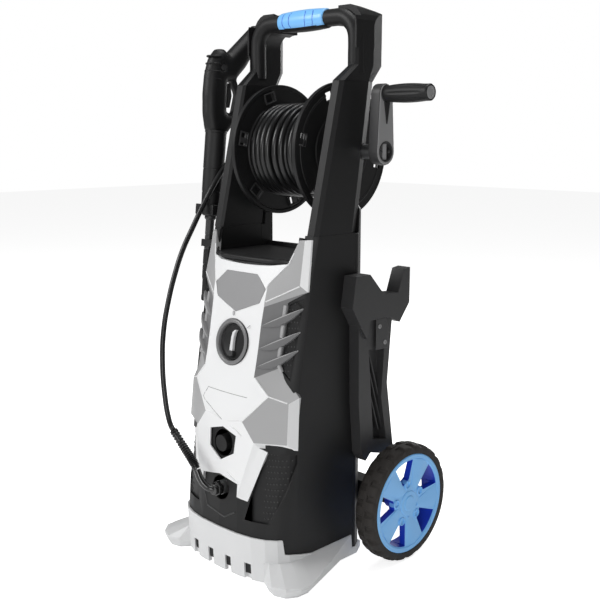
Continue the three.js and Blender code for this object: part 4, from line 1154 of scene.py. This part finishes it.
# screws, vents and small marks
def screwHead(bm, centre, facing, radius):
    profile = [(0, -2), (radius, -2), (radius, 0.4), (radius * 0.8, 1.1), (0, 1.3)]
    head = spun(bmesh.new(), "z", profile, (0, 0, 0), 24)
    cross = []
    for turn in (0, math.pi / 2):
        tool = bmesh.new()
        long, thin = radius * 0.55, radius * 0.13
        block(tool, (-long, -thin, 0.2), (long, thin, 3), Matrix.Rotation(turn, 4, "Z"))
        cross.append(tool)
    head = cut(head, cross)
    bmesh.ops.transform(head, matrix=pointing(centre, facing), verts=head.verts)
    mesh = bpy.data.meshes.new("screw")
    head.to_mesh(mesh)
    head.free()
    bm.from_mesh(mesh)


fixings = {
    "hook": [(82, 380), (95, 353)],
    "backPosts": [(-88, 548), (88, 548), (-88, 150), (88, 150), (-88, 330), (88, 330)],
}
screws = bmesh.new()
for side in (-1, 1):
    for y, z in fixings["hook"]:
        screwHead(screws, (side * 142.2, y, z), (side, 0, 0), 3.6)
for x, z in fixings["backPosts"]:
    screwHead(screws, (x, 84.5, z), (0, 1, 0), 3.8)
finishPiece("case_screws", screws, "washer", "satin", angle=35)

hookPlates = bmesh.new()
for side in (-1, 1):
    outline = [(74, 343), (103, 343), (103, 376), (96, 392), (74, 392)]
    plate(hookPlates, outline, 1.4, sideways(side * 140.6, side))
    for y in (50, 60, 69):
        rib = [(y, 338), (y + 3, 338), (y + 48, 206), (y + 45, 206)]
        plate(hookPlates, rib, 9, sideways(side * 121.5, side))
finishPiece("hook_plates", hookPlates, "washer", "charcoal", bevel=0.7, angle=25)


def ventShape():  # slanted louvres across the lower back
    bm = bmesh.new()
    for row in range(9):
        z = 205 + row * 13
        half = 58 - abs(row - 4) * 2
        tilt = Matrix.Translation((0, 87.6, z)) @ Matrix.Rotation(math.radians(-24), 4, "X")
        block(bm, (-half, -3.4, -3.6), (half, 1.7, 1.1), tilt)
    return bm


finishPiece("rear_louvres", ventShape(), "washer", "black", bevel=0.9, angle=30)


def grilleShape():  # rows of small six-sided studs in the two recesses
    bm = bmesh.new()
    housing = BVHTree.FromBMesh(cadShape("side_grille_right"))
    for row in range(40):
        for column in range(10):
            x = 84 + column * 4.2 + (2.1 if row % 2 else 0)
            z = 96 + row * 9
            if column * 4.2 > 30 or not (z < 205 or 300 < z < 436):
                continue
            hit, normal = housing.ray_cast(Vector((x, -300, z)), Vector((0, 1, 0)))[:2]
            if not hit:
                continue
            for side in (-1, 1):
                place = pointing((side * hit.x, hit.y, hit.z), (side * normal.x, normal.y, normal.z))
                rod(bm, place, 1.5, 1.4, 6, 1.1)
    return bm


finishPiece("grille_studs", grilleShape(), "washer", "charcoal", angle=30)
print("fixings made")

# inner works keep their shape
inner = {
    "motor_stator": "aluminium", "pump_block": "aluminium", "pump_head": "aluminium",
    "outlet_pipe": "aluminium", "motor_rotor": "steel", "swash_plate": "steel",
    "pump_piston_1": "steel", "pump_piston_2": "steel",
    "pump_piston_3": "steel", "unloader_valve": "brass", "cooling_fan": "black", "motor_mount": "charcoal",
    "capacitor": "charcoal", "switch_box": "black", "side_grille_left": "black", "side_grille_right": "black",
}
for node, finish in inner.items():
    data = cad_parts[node].data
    data.materials.clear()
    data.materials.append(finishes[finish])

# rim of the bay under the reel
rim = {"radius": 4.4, "z": 487.6, "half": 84}
rimPoints = [(-93.5, -41, 524), (-93, -45, 506), (-90, coverY(90, 494) + 5, 494)]
for step in range(-6, 7):
    x = rim["half"] * step / 6
    rimPoints.append((x, coverY(x, rim["z"]) + 5.2, rim["z"]))
rimPoints += [(90, coverY(90, 494) + 5, 494), (93, -45, 506), (93.5, -41, 524)]
tube("bay_rim", rimPoints, rim["radius"], "washer", "black")

# floor, light
def seenLevel(tree, given, seen, socket):  # brighter to look at than the light it gives
    rays = tree.nodes.new("ShaderNodeLightPath")
    level = newNode(tree.nodes, "MapRange", {"To Min": given, "To Max": seen})
    tree.links.new(rays.outputs["Is Camera Ray"], level.inputs["Value"])
    tree.links.new(level.outputs["Result"], socket)


studio = {"floorSize": 9, "paper": 0.9, "glow": 0.8, "bounce": 0.2, "seen": 1.0, "fill": 0.14}
bpy.context.scene.view_settings.view_transform = "Standard"
floorMesh = bmesh.new()
bmesh.ops.create_grid(floorMesh, x_segments=1, y_segments=1, size=studio["floorSize"])
floorData = bpy.data.meshes.new("floor")
floorMesh.to_mesh(floorData)
floorMesh.free()
floor = bpy.data.objects.new("floor", floorData)
bpy.context.scene.collection.objects.link(floor)
paper = bpy.data.materials.new("paper")
paper.use_nodes = True
paperShader = paper.node_tree.nodes["Principled BSDF"]
setInputs(paperShader, {
    "Base Color": (studio["paper"], studio["paper"], studio["paper"], 1), "Roughness": 0.95,
    "Specular IOR Level": 0.1, "Emission Color": (1, 1, 1, 1),
})
seenLevel(paper.node_tree, studio["bounce"], studio["glow"], paperShader.inputs["Emission Strength"])
floorData.materials.append(paper)

world = bpy.data.worlds.new("studio")
world.use_nodes = True
room = world.node_tree.nodes["Background"]
room.inputs["Color"].default_value = (1, 1, 1, 1)
seenLevel(world.node_tree, studio["fill"], studio["seen"], room.inputs["Strength"])
bpy.context.scene.world = world

lamps = [
    # name, place in metres, aim, size, watts
    ("key", (-1.3, -2.1, 1.9), (0, 0, 0.35), 1.3, 48),
    ("right", (1.5, -2.3, 0.8), (0, 0, 0.35), 1.0, 19),
    ("top", (0.1, 0.3, 2.6), (0, 0, 0.4), 1.2, 24),
    ("rear", (-0.5, 2.3, 1.2), (0, 0, 0.5), 1.0, 22),
]
for name, place, aim, size, watts in lamps:
    lamp = bpy.data.objects.new(name, bpy.data.lights.new(name, "AREA"))
    lamp.data.size = size
    lamp.data.energy = watts
    lamp.location = place
    lamp.rotation_euler = (Vector(aim) - Vector(place)).to_track_quat("-Z", "Y").to_euler()
    bpy.context.scene.collection.objects.link(lamp)
